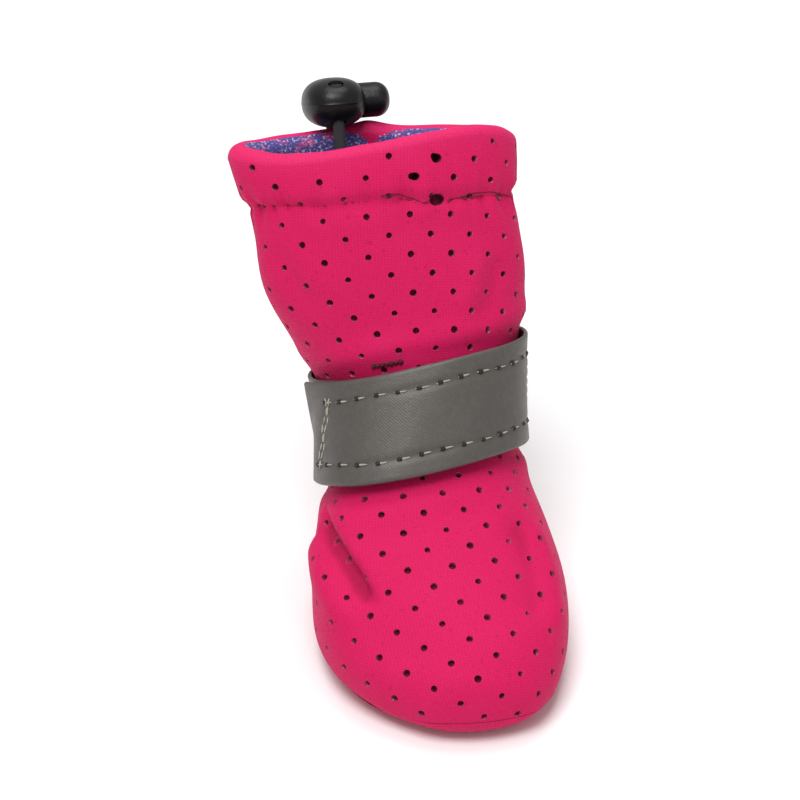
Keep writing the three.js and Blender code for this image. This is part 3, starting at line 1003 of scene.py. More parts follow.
@dataclass
class SockUpper:
    """The foam sock: outside, rolled rim, lining, perforations and the sewn hem."""

    last: Last
    wall: float = 2.0 * MM
    hem_height: float = 8.2 * MM
    hem_out: float = 0.9 * MM
    hem_in: float = 1.1 * MM
    hem_shoulder: float = 1.2 * MM
    underside: float = 2.32 * MM
    skin_below: float = 1.5 * MM
    rings_each: int = 12
    round_: int = 168
    rim_steps: int = 12
    lining_from: int = 9
    shaft_from: int = 6
    bend_from: float = 10.0 * MM
    bend: float = -1.2
    grain_turn: float = math.radians(-1)
    hole_pitch: float = 6.95 * MM
    hole_radius: float = 0.6 * MM
    hole_cut: float = 2.3 * MM
    hole_cells: int = 35
    pull_depth: float = 1.9 * MM
    pull_reach: float = 4 * MM
    hole_origin: tuple[float, float, float] = (23.3 * MM, 58.47 * MM, 0.0)
    stretched: tuple[tuple[float, float, float, float], ...] = (
        (11.03, -20.5, 1.45, 1.05), (11.72, -22.8, 0.95, 0.85), (11.47, -12.0, 0.85, 0.72),
    )
    lump_angle: float = math.radians(181)
    lump_spread: float = math.radians(9)
    lump_rise: float = 1.1 * MM
    lump_rows: int = 6
    folds: tuple[Fold, ...] = (
        Fold(
            ((6.5, 64.0), (6.0, 57.5), (5.21, 46.5), (4.65, 41.5), (3.8, 39.0)),
            -2.3, 3.4, 1.2, 6.6, 3.2, 3.4,
        ),
        Fold(((5.5, -34.0), (4.36, -42.0), (3.2, -44.0)), -1.0, 3.2, 0.5, -5.2, 2.8),
        Fold(((10.2, -48.0), (9.6, -40.0), (9.3, -30.0)), -0.7, 2.6, 0.4, 4.0, 2.6),
        Fold(((10.6, 62.0), (10.0, 52.0), (9.6, 46.0)), -0.6, 2.4, 0.3, -4.0, 2.6),
        Fold(((9.0, 150.0), (8.5, 176.0), (9.0, 204.0)), -0.9, 2.2, 0.5, 3.4, 2.2),
        Fold(((10.3, 128.0), (9.9, 160.0)), -0.7, 2.4, 0.3, 3.6, 2.4),
        Fold(((6.6, -72.0), (7.2, -92.0), (7.5, -112.0)), -0.8, 2.2, 0.4, 3.2, 2.2),
        Fold(((6.9, 88.0), (7.3, 108.0)), -0.6, 2.0, 0.3, 3.2, 2.2),
    )

    def __post_init__(self) -> None:
        """Measure the front line from the collar down and set the grid."""
        lines = np.linspace(self.last.end - 2, self.last.end, 241)
        front = self.last.point(lines, 0.0)
        self.front_lines = lines
        self.front_distance = np.linalg.norm(front - front[-1], axis=-1)
        count = self.last.end * self.rings_each
        self.stations = np.linspace(0, self.last.end, count + 1)[1:]
        self.angles = 2 * math.pi * (np.arange(self.round_) / self.round_) + math.pi

    def from_seam(self, station: np.ndarray) -> np.ndarray:
        """Distance above the hem's seam, measured on the front line."""
        down = np.interp(station, self.front_lines, self.front_distance)
        return self.hem_height - down

    def seam_wander(self, angle: np.ndarray) -> np.ndarray:
        """How far the seam strays down from its level.

        Args:
            angle: Radians round the shaft.

        Returns:
            Distances in millimetres.
        """
        right = -((np.degrees(angle) + 180.0) % 360.0 - 180.0)
        dip = 1.25 * smoothstep(right, 5.0, 14.0) * (1 - smoothstep(right, 70.0, 110.0))
        return dip + 0.14 * np.sin(5 * angle + 0.7) + 0.12 * np.sin(11 * angle + 2.1)

    def fold_height(self, fold: Fold, points: np.ndarray, normals: np.ndarray) -> np.ndarray:
        """How far one fold moves the surface.

        Args:
            fold: The fold.
            points: Points of the form.
            normals: Its outward directions there.

        Returns:
            Distances in metres.
        """
        knots = np.array(fold.path)
        share = np.linspace(0, 1, 60)
        at = np.linspace(0, 1, len(knots))
        line = self.last.point(
            np.interp(share, at, knots[:, 0]), np.radians(np.interp(share, at, knots[:, 1]))
        )
        flat = points.reshape(-1, 3)
        gaps = flat[:, None, :] - line[None, :, :]
        nearest = np.argmin((gaps**2).sum(-1), axis=1)
        tangent = np.gradient(line, axis=0)
        tangent /= np.linalg.norm(tangent, axis=-1, keepdims=True)
        gap = flat - line[nearest]
        over = np.cross(normals.reshape(-1, 3), tangent[nearest])
        beyond = (gap * tangent[nearest]).sum(-1) / MM
        away = np.linalg.norm(gap, axis=-1) / MM
        beside = np.sign((gap * over).sum(-1)) * np.sqrt(np.maximum(away**2 - beyond**2, 0.0))
        t = share[nearest]
        fade = smoothstep(t, -0.001, fold.ends) * smoothstep(1 - t, -0.001, fold.ends)
        fade *= bump(beyond, 3.0)
        width = np.where(beside > 0, fold.width / fold.sharp, fold.width)
        height = fold.depth * bump(beside, width)
        height = height + fold.ridge * bump(beside + fold.ridge_away, fold.ridge_width)
        return (height * fade * MM).reshape(points.shape[:-1])

    def relief(self, station: np.ndarray, angle: np.ndarray) -> np.ndarray:
        """Everything that the outside adds to the form: hem, puckers, folds and slack.

        Args:
            station: Grid of stations.
            angle: Grid of angles.

        Returns:
            Distances in metres.
        """
        points = self.last.point(station, angle)
        normals = self.last.normal(station, angle)
        above = self.from_seam(station) / MM + self.seam_wander(angle)
        gather = (
            0.17 * np.sin(19 * angle + 0.4) + 0.15 * np.sin(27 * angle + 1.9)
            + 0.12 * np.sin(37 * angle + 4.0) + 0.10 * np.sin(46 * angle + 2.6)
        )
        puff = smoothstep(above, -0.4, 2.2) * (1.0 + 0.28 * bump(above - 4.2, 3.0))
        height = self.hem_out / MM * puff
        height -= 0.5 * bump(above, 0.6)
        height += gather * (bump(above - 0.8, 2.6) + 0.6 * bump(above + 1.2, 2.6))
        height += 0.22 * bump(above + 3.2, 2.2)
        strap = Strap(self.last)
        across = ((points - strap.middle) @ strap.facing) / MM
        bulge = 0.75 * bump(np.abs(across) - 13.6, 2.3) * (0.75 + 0.25 * np.sin(3 * angle))
        slack = 0.28 * np.sin(3 * angle + 1.1 * station) + 0.2 * np.sin(5 * angle - 1.7 * station)
        loose = smoothstep(station, 1.2, 3.0) * (1 - smoothstep(above, -5.0, -1.0))
        free = smoothstep(np.abs(across), 10.3, 13.0)
        height = (height + (bulge + slack * loose) * free) * MM
        for fold in self.folds:
            height = height + self.fold_height(fold, points, normals) * free
        return height

    def flat_pattern(
        self, points: np.ndarray, faces: np.ndarray, front: int
    ) -> tuple[bpy.types.Object, np.ndarray]:
        """Flatten the outside, cut along the back line, to a pattern in metres.

        Args:
            points: The outside's grid, toe tip first.
            faces: Quads that stand above the sole line.
            front: Column of the grid on the front line.

        Returns:
            The flattened skin and its corner coordinates.
        """
        skin = new_piece("skin_pattern", points, [tuple(f) for f in faces])
        for edge in skin.data.edges:
            ends = [(v - 1) % self.round_ for v in edge.vertices]
            edge.use_seam = ends == [0, 0] and min(edge.vertices) > 0
        skin.data.uv_layers.new(name=PANEL)
        for other in bpy.context.selected_objects:
            other.select_set(False)
        skin.select_set(True)
        bpy.context.view_layer.objects.active = skin
        bpy.ops.object.mode_set(mode="EDIT")
        bpy.ops.mesh.select_all(action="SELECT")
        bpy.ops.uv.unwrap(method="MINIMUM_STRETCH", fill_holes=False, margin=0.0, iterations=30)
        bpy.ops.object.mode_set(mode="OBJECT")
        corners = np.zeros(2 * len(skin.data.loops), np.float32)
        skin.data.uv_layers[PANEL].data.foreach_get("uv", corners)
        corners = corners.reshape(-1, 2).astype(float)
        number = corner_points(skin)
        column = (number - 1) % self.round_
        ring = (number - 1) // self.round_
        first = self.shaft_from * self.rings_each
        centre = [
            corners[(column == front) & (ring == r)].mean(0)
            for r in range(first, self.last.end * self.rings_each)
        ]
        line = np.array(centre)
        solid = points[1:].reshape(-1, self.round_, 3)[first:, front]
        real = np.linalg.norm(np.diff(solid, axis=0), axis=-1).sum()
        shown = np.linalg.norm(np.diff(line, axis=0), axis=-1).sum()
        corners = (corners - line[0]) * real / shown
        up = line[-1] - line[0]
        turn = math.atan2(up[0], up[1])
        spin = np.array([[math.cos(turn), -math.sin(turn)], [math.sin(turn), math.cos(turn)]])
        corners = corners @ spin.T
        left = corners[column == (front - 6) % self.round_].mean(0)[0]
        right = corners[column == (front + 6) % self.round_].mean(0)[0]
        if left > right:
            corners[:, 0] *= -1
        flat = corners[:, 0] + 1j * (corners[:, 1] + self.bend_from)
        flat = (flat + self.bend * flat**2) * np.exp(1j * self.grain_turn)
        corners = np.stack([flat.real, flat.imag], -1)
        set_panel(skin, corners)
        return skin, corners

    def stretched_holes(self) -> bpy.types.Object:
        """Oval pins for the holes that the hem's seam has pulled open.

        Returns:
            The helper object.
        """
        sides = 24
        turn = 2 * math.pi * np.arange(sides) / sides
        points, faces = [], []
        for number, (station, degrees, wide, high) in enumerate(self.stretched):
            angle = math.radians(degrees)
            middle = self.last.point(station, angle)
            out = self.last.normal(station, angle)
            aside = np.cross(self.last.axis, out)
            aside /= np.linalg.norm(aside)
            up = np.cross(out, aside)
            oval = np.outer(np.cos(turn) * wide * MM, aside) + np.outer(np.sin(turn) * high * MM, up)
            points += [middle + oval - out * self.pull_depth, middle + oval + out * self.pull_reach]
            start = 2 * sides * number
            faces += [tuple(start + i for i in quad) for quad in ring_faces(2, sides)]
            faces += [tuple(range(start, start + sides))[::-1]]
            faces += [tuple(range(start + sides, start + 2 * sides))]
        made = new_piece("stretched_hole_cutters", np.concatenate(points), faces)
        face_outwards(made)
        return made

    def shell(self) -> SockGrid:
        """Lay out the closed shell: outside, rolled rim and lining.

        Returns:
            The shell's points and faces.
        """
        station, angle = np.meshgrid(self.stations, self.angles, indexing="ij")
        height = self.relief(station, angle)
        outer = self.last.offset(station, angle, height)
        share = smoothstep(
            self.from_seam(station), -self.hem_shoulder / 2, self.hem_shoulder / 2
        )
        ripple = 0.12 * MM * np.sin(14 * angle + 2.3 * station) * smoothstep(station, 8, 10)
        follow = np.clip(height, -2.0 * MM, 0.0) * (1 - share)
        inner = self.last.offset(station, angle, follow - self.wall - self.hem_in * share + ripple)
        turned = (angle - self.lump_angle + math.pi) % (2 * math.pi) - math.pi
        lump = self.lump_rise * bump(turned, self.lump_spread) * smoothstep(station, 11.2, 12.0)
        outer = outer + lump[..., None] * self.last.axis
        inner = inner + lump[..., None] * self.last.axis
        half = (outer[-1] - inner[-1]) / 2
        middle = outer[-1] - half
        span = np.linalg.norm(half, axis=-1, keepdims=True)
        turns = math.pi * np.arange(1, self.rim_steps + 1) / (self.rim_steps + 1)
        rim = [middle + self.last.axis * span * math.sin(t) + half * math.cos(t) for t in turns]
        tip = self.last.point(0.0, 0.0)
        inner_tip = tip + np.array([0.0, self.wall, 0.0])
        rings = np.concatenate([outer, np.array(rim), inner[::-1]])
        points = np.concatenate([[tip], rings.reshape(-1, 3), [inner_tip]])
        quads = np.array(ring_faces(len(rings), self.round_)) + 1
        return SockGrid(station, height, turned[-1], points, quads, len(rings))

    def skin(self, grid: SockGrid) -> tuple[bpy.types.Object, np.ndarray, np.ndarray]:
        """Flatten the part of the outside that stands above the sole line.

        Args:
            grid: The shell.

        Returns:
            The flattened skin, its corner coordinates and the numbers of its quads in the shell.
        """
        points = grid.points
        quads = grid.quads[: (grid.outside - 1) * self.round_]
        along = self.last.centre_along - points[:, 1]
        high = points[:, 2] > self.underside + self.last.lift(along) - self.skin_below
        kept = high[quads].any(axis=1)
        outside = points[: grid.outside * self.round_ + 1]
        skin, flat = self.flat_pattern(outside, quads[kept], self.round_ // 2)
        return skin, flat, np.flatnonzero(kept)

    def lay_panel(
        self, piece: bpy.types.Object, grid: SockGrid, flat: np.ndarray, numbers: np.ndarray
    ) -> None:
        """Carry the flat pattern from the outside over the rim to the lining.

        Args:
            piece: The closed sock.
            grid: The shell.
            flat: The skin's corner coordinates.
            numbers: The skin's quads in the shell.
        """
        corners = np.zeros((len(piece.data.loops), 2))
        corners[(numbers[:, None] * 4 + np.arange(4)).ravel()] = flat
        per_ring = self.round_ * 4
        last = grid.outside - 1
        edge = corners[(last - 1) * per_ring: last * per_ring].reshape(-1, 4, 2)
        strip = np.stack([edge[:, 3], edge[:, 2], edge[:, 2], edge[:, 3]], 1)
        arc = math.pi * self.wall / (self.rim_steps + 1)
        for step in range(self.rim_steps + 1):
            at = (last + step) * per_ring
            rise = np.array([step, step, step + 1, step + 1]) * arc
            raised = strip + np.stack([np.zeros(4), rise], -1)
            corners[at: at + per_ring] = raised.reshape(-1, 2)
        for ring in range(last):
            source = corners[ring * per_ring: (ring + 1) * per_ring].reshape(-1, 4, 2)
            at = (grid.rings - 2 - ring) * per_ring
            corners[at: at + per_ring] = source[:, [3, 2, 1, 0]].reshape(-1, 2)
        set_panel(piece, corners)

    def mark_wear_highlight_and_shade(self, piece: bpy.types.Object, grid: SockGrid) -> None:
        """Note where the hem's top and rim are rubbed and take a painted highlight, and how deep the
        creases are for their painted shade.

        Args:
            piece: The closed sock.
            grid: The shell.
        """
        outside = grid.outside * self.round_ + 1
        above = self.from_seam(grid.station)
        # Rubbed wear and painted highlight on the hem's upper band and the rim.
        wear = np.zeros(len(grid.points))
        wear[1:outside] = 0.55 * smoothstep(above.ravel() / MM, 5.0, 10.5)
        wear[outside: outside + self.rim_steps * self.round_] = 0.7
        set_number(piece, "rim_wear", wear)
        # Painted shade in the creases below the hem, by how deep they sink.
        depth = np.zeros(len(grid.points))
        crease_shade = np.clip(-(grid.height / MM) - 0.35, 0, 1.2) / 1.2
        depth[1:outside] = (crease_shade * (above < -3 * MM)).ravel()
        set_number(piece, PAINTED_SHADE, depth)

    def paint(
        self, piece: bpy.types.Object, grid: SockGrid
    ) -> tuple[bpy.types.Material, bpy.types.Material]:
        """Give the outside, the rim and the lining their finishes.

        Args:
            piece: The closed sock.
            grid: The shell.

        Returns:
            The materials of the holes' floors and walls.
        """
        # Painted shade: the holes' floors take a dark colour for the shade deep in each hole.
        finishes = (FoamKnit("pink_foam_knit"), LiningKnit(), HoleFoamAndShade(), HOLE_WALL)
        made = [finish.make() for finish in finishes]
        for material in made:
            piece.data.materials.append(material)
        lined = grid.outside - 1 + self.lining_from
        slots = np.zeros(len(piece.data.polygons), np.int32)
        slots[lined * self.round_: len(grid.quads)] = 1
        slots[len(grid.quads) + self.round_:] = 1
        pink_rows = np.round(self.lump_rows * bump(grid.turned, self.lump_spread)).astype(int)
        for column, rows in enumerate(pink_rows):
            slots[[(lined + r) * self.round_ + column for r in range(rows)]] = 0
        piece.data.polygons.foreach_set("material_index", slots)
        return made[2], made[3]

    def build(self) -> bpy.types.Object:
        """Build, perforate and smooth the sock.

        Returns:
            The finished piece.
        """
        grid = self.shell()
        fans = end_fans(grid.rings, self.round_, 1, (0, len(grid.points) - 1))
        piece = new_piece("sock_upper", grid.points, [tuple(q) for q in grid.quads] + fans)
        skin, flat, numbers = self.skin(grid)
        self.lay_panel(piece, grid, flat, numbers)
        self.mark_wear_highlight_and_shade(piece, grid)
        floor_shade, edge_foam = self.paint(piece, grid)
        face_outwards(piece)
        self.perforate(piece, skin, floor_shade, edge_foam)
        smooth(piece, 50.0)
        return piece

    def perforate(
        self, piece: bpy.types.Object, skin: bpy.types.Object,
        floor_shade: bpy.types.Material, edge_foam: bpy.types.Material,
    ) -> None:
        """Cut the underside, the cord's exits and the lattice of holes.

        Args:
            piece: The closed sock.
            skin: The flattened outside, which is used up.
            floor_shade: Material of the holes' floors.
            edge_foam: Material of the holes' walls.
        """
        tree = Tree("perforations")
        pattern = tree.size("Pattern", "Object")
        under = tree.size("Underside", "Object")
        exits = tree.size("Cord exits", "Object")
        pulled = tree.size("Stretched holes", "Object")
        pitch = tree.size("Pitch")
        radius = tree.size("Radius")
        long = tree.size("Length")
        origin = tree.size("Origin", "Vector")
        ground = tree.size("Floor material", "Material")
        wall = tree.size("Wall material", "Material")
        shapes = [
            tree.give("ObjectInfo", {}, {"Object": source}, "Geometry")
            for source in (pattern, under, exits, pulled)
        ]
        skin_geometry, under_geometry, exit_geometry, pulled_geometry = shapes
        cells = self.hole_cells
        multiply = {"operation": "MULTIPLY"}
        side = tree.give("ShaderNodeMath", multiply, {0: pitch, 1: cells - 1.0})
        half = tree.give("ShaderNodeMath", multiply, {0: pitch, 1: 0.5})
        shift = tree.give("ShaderNodeCombineXYZ", {}, {0: half, 1: half})
        sizes = {"Size X": side, "Size Y": side, "Vertices X": cells, "Vertices Y": cells}
        corners = tree.give("MeshGrid", {}, sizes)
        centres = tree.give("MeshGrid", {}, sizes)
        centres = tree.give("SetPosition", {}, {"Geometry": centres, "Offset": shift})
        lattice = tree.give("JoinGeometry", {}, {0: [corners, centres]})
        lattice = tree.give("SetPosition", {}, {"Geometry": lattice, "Offset": origin})
        place = tree.give("InputPosition", {}, {})
        flat = tree.give("InputNamedAttribute", {"data_type": "FLOAT_VECTOR"}, {"Name": PANEL})
        samples = [
            tree.node(
                "SampleUVSurface", {"data_type": "FLOAT_VECTOR"},
                {"Mesh": skin_geometry, "Value": value, "Source UV Map": flat, "Sample UV": place},
            )
            for value in (place, tree.give("InputNormal", {}, {}))
        ]
        kept = tree.node("CaptureAttribute", {}, {"Geometry": lattice})
        kept.capture_items.new("VECTOR", "Facing")
        kept.capture_items.new("BOOLEAN", "On skin")
        tree.group.links.new(samples[1].outputs[0], kept.inputs["Facing"])
        tree.group.links.new(samples[0].outputs[1], kept.inputs["On skin"])
        laid = tree.give(
            "SetPosition", {},
            {"Geometry": kept.outputs["Geometry"], "Position": samples[0].outputs[0]},
        )
        rod = tree.node("MeshCylinder", {}, {"Vertices": 14, "Radius": radius, "Depth": long})
        cutter = tree.give("SetMaterial", {}, {"Geometry": rod.outputs["Mesh"], "Material": ground})
        cutter = tree.give(
            "SetMaterial", {},
            {"Geometry": cutter, "Selection": rod.outputs["Side"], "Material": wall},
        )
        aim = tree.give(
            "FunctionNodeAlignRotationToVector", {"axis": "Z"}, {"Vector": kept.outputs["Facing"]}
        )
        varied = tree.give(
            "FunctionNodeRandomValue", {"data_type": "FLOAT"}, {2: 0.86, 3: 1.14, "Seed": 11}, 1
        )
        stood = tree.give(
            "InstanceOnPoints", {},
            {"Points": laid, "Selection": kept.outputs["On skin"], "Instance": cutter,
             "Rotation": aim, "Scale": varied},
        )
        real = tree.give("RealizeInstances", {}, {"Geometry": stood})
        large = tree.give("JoinGeometry", {}, {0: [exit_geometry, pulled_geometry]})
        large_cut = tree.give("SetMaterial", {}, {"Geometry": large, "Material": ground})
        opened = tree.give(
            "MeshBoolean", {"operation": "DIFFERENCE", "solver": "MANIFOLD"},
            {0: tree.geometry, 1: [under_geometry, large_cut, real]},
        )
        tree.close(opened)
        slab = self.last.slab("underside_cutter", -4 * MM, self.underside)
        ways = CordLock(self.last).exit_cutters()
        ovals = self.stretched_holes()
        tree.carry_out(piece, {
            "Pattern": skin, "Underside": slab, "Cord exits": ways, "Stretched holes": ovals,
            "Pitch": self.hole_pitch, "Radius": self.hole_radius, "Length": self.hole_cut,
            "Origin": self.hole_origin,
            "Floor material": floor_shade, "Wall material": edge_foam,
        })
        for helper in (skin, slab, ways, ovals):
            discard(helper)

    def dress(self) -> None:
        """Build the sock and tie it to the boot."""
        piece = self.build()
        settle(piece, Body.BOOT, ["upper"])


def cut(piece: bpy.types.Object, cutters: Sequence[bpy.types.Object], operation: str) -> None:
    """Cut a closed mesh with others through a small tree.

    Args:
        piece: The mesh that is cut.
        cutters: Closed helpers, which are used up.
        operation: The cut's kind.
    """
    tree = Tree("cut_" + piece.name)
    tools = [tree.size(f"Cutter {i}", "Object") for i in range(len(cutters))]
    shapes = [tree.give("ObjectInfo", {}, {"Object": t}, "Geometry") for t in tools]
    inputs: dict[int, Any] = {0: tree.geometry, 1: shapes}
    if operation == "INTERSECT":
        inputs = {1: [tree.geometry, *shapes]}
    tree.close(tree.give("MeshBoolean", {"operation": operation, "solver": "MANIFOLD"}, inputs))
    tree.carry_out(piece, {f"Cutter {i}": c for i, c in enumerate(cutters)})
    for helper in cutters:
        discard(helper)


@dataclass
class Sole:
    """The sewn sole under the sock."""

    last: Last
    thickness: float = 2.2 * MM
    round_: int = 144
    rings_each: int = 8
    stations: int = 9

    def dress(self) -> None:
        """Build the sole from the form below the sole line and tie it to the boot."""
        count = self.stations * self.rings_each
        stations = np.linspace(0, self.stations, count + 1)[1:]
        angles = 2 * math.pi * np.arange(self.round_) / self.round_
        station, angle = np.meshgrid(stations, angles, indexing="ij")
        rings = self.last.point(station, angle)
        points = np.concatenate(
            [[self.last.point(0.0, 0.0)], rings.reshape(-1, 3), [rings[-1].mean(0)]]
        )
        quads = (np.array(ring_faces(count, self.round_)) + 1).tolist()
        fans = end_fans(count, self.round_, 1, (0, len(points) - 1))
        piece = new_piece("sewn_sole", points, quads + fans)
        face_outwards(piece)
        cut(piece, [self.last.slab("sole_slab", 0.0, self.thickness)], "INTERSECT")
        spots = np.zeros(3 * len(piece.data.vertices))
        piece.data.vertices.foreach_get("co", spots)
        set_panel(piece, spots.reshape(-1, 3)[corner_points(piece)][:, :2])
        piece.data.materials.clear()
        piece.data.materials.append(FoamKnit("sole_foam_knit", wale=0.7, course=0.62).make())
        smooth(piece, 40.0)
        settle(piece, Body.BOOT, ["sole"])


def stitch_tree() -> Tree:
    """A tree that lays stitches along a line of points, each holding its outward direction.

    Returns:
        The tree.
    """
    tree = Tree("stitch_row")
    pitch = tree.size("Pitch")
    long = tree.size("Stitch length")
    thick = tree.size("Thread radius")
    thread = tree.size("Thread", "Material")
    line = tree.give("MeshToCurve", {}, {0: tree.geometry})
    spaced = tree.give("ResampleCurve", {"mode": "LENGTH"}, {"Curve": line, "Length": pitch})
    onward = tree.give("InputTangent", {}, {})
    out = tree.give("InputNamedAttribute", {"data_type": "FLOAT_VECTOR"}, {"Name": "out"})
    align = "FunctionNodeAlignRotationToVector"
    first = tree.give(align, {"axis": "X"}, {"Vector": onward})
    aim = tree.give(align, {"axis": "Z", "pivot_axis": "X"}, {"Rotation": first, "Vector": out})
    ball = tree.give("MeshUVSphere", {}, {"Segments": 8, "Rings": 6, "Radius": 1.0}, "Mesh")
    half = tree.give("ShaderNodeMath", {"operation": "MULTIPLY"}, {0: long, 1: 0.5})
    size = tree.give("ShaderNodeCombineXYZ", {}, {0: half, 1: thick, 2: thick})
    varied = tree.give(
        "FunctionNodeRandomValue", {"data_type": "FLOAT_VECTOR"},
        {0: (0.8, 0.85, 0.85), 1: (1.08, 1.15, 1.1), "Seed": 5},
    )
    scale = tree.give("ShaderNodeVectorMath", {"operation": "MULTIPLY"}, {0: size, 1: varied})
    laid = tree.give(
        "InstanceOnPoints", {}, {"Points": spaced, "Instance": ball, "Rotation": aim, "Scale": scale}
    )
    real = tree.give("RealizeInstances", {}, {"Geometry": laid})
    even = tree.give("SetShadeSmooth", {}, {"Geometry": real})
    tree.close(tree.give("SetMaterial", {}, {"Geometry": even, "Material": thread}))
    return tree


@dataclass(frozen=True)
class StitchRow:
    """Sizes of the stitches in a row."""

    pitch: float
    length: float
    radius: float

    def lay(
        self, name: str, paths: Sequence[tuple[np.ndarray, np.ndarray]],
        thread: bpy.types.Material, slot: Slot,
    ) -> bpy.types.Object:
        """Lay the stitches along open paths and tie them to the boot.

        Args:
            name: The piece's name.
            paths: Points and outward directions of each path.
            thread: The thread's material.
            slot: Not used.

        Returns:
            The piece.
        """
        points = np.concatenate([p for p, _ in paths])
        facing = np.concatenate([n for _, n in paths])
        mesh = bpy.data.meshes.new(name)
        edges, start = [], 0
        for path, _ in paths:
            edges += [(start + i, start + i + 1) for i in range(len(path) - 1)]
            start += len(path)
        mesh.from_pydata([tuple(p) for p in points], edges, [])
        layer = mesh.attributes.new("out", "FLOAT_VECTOR", "POINT")
        layer.data.foreach_set("vector", facing.astype(np.float32).ravel())
        piece = link(name, mesh)
        stitch_tree().carry_out(piece, {
            "Pitch": self.pitch, "Stitch length": self.length, "Thread radius": self.radius,
            "Thread": thread,
        })
        settle(piece, Body.BOOT)
        return piece


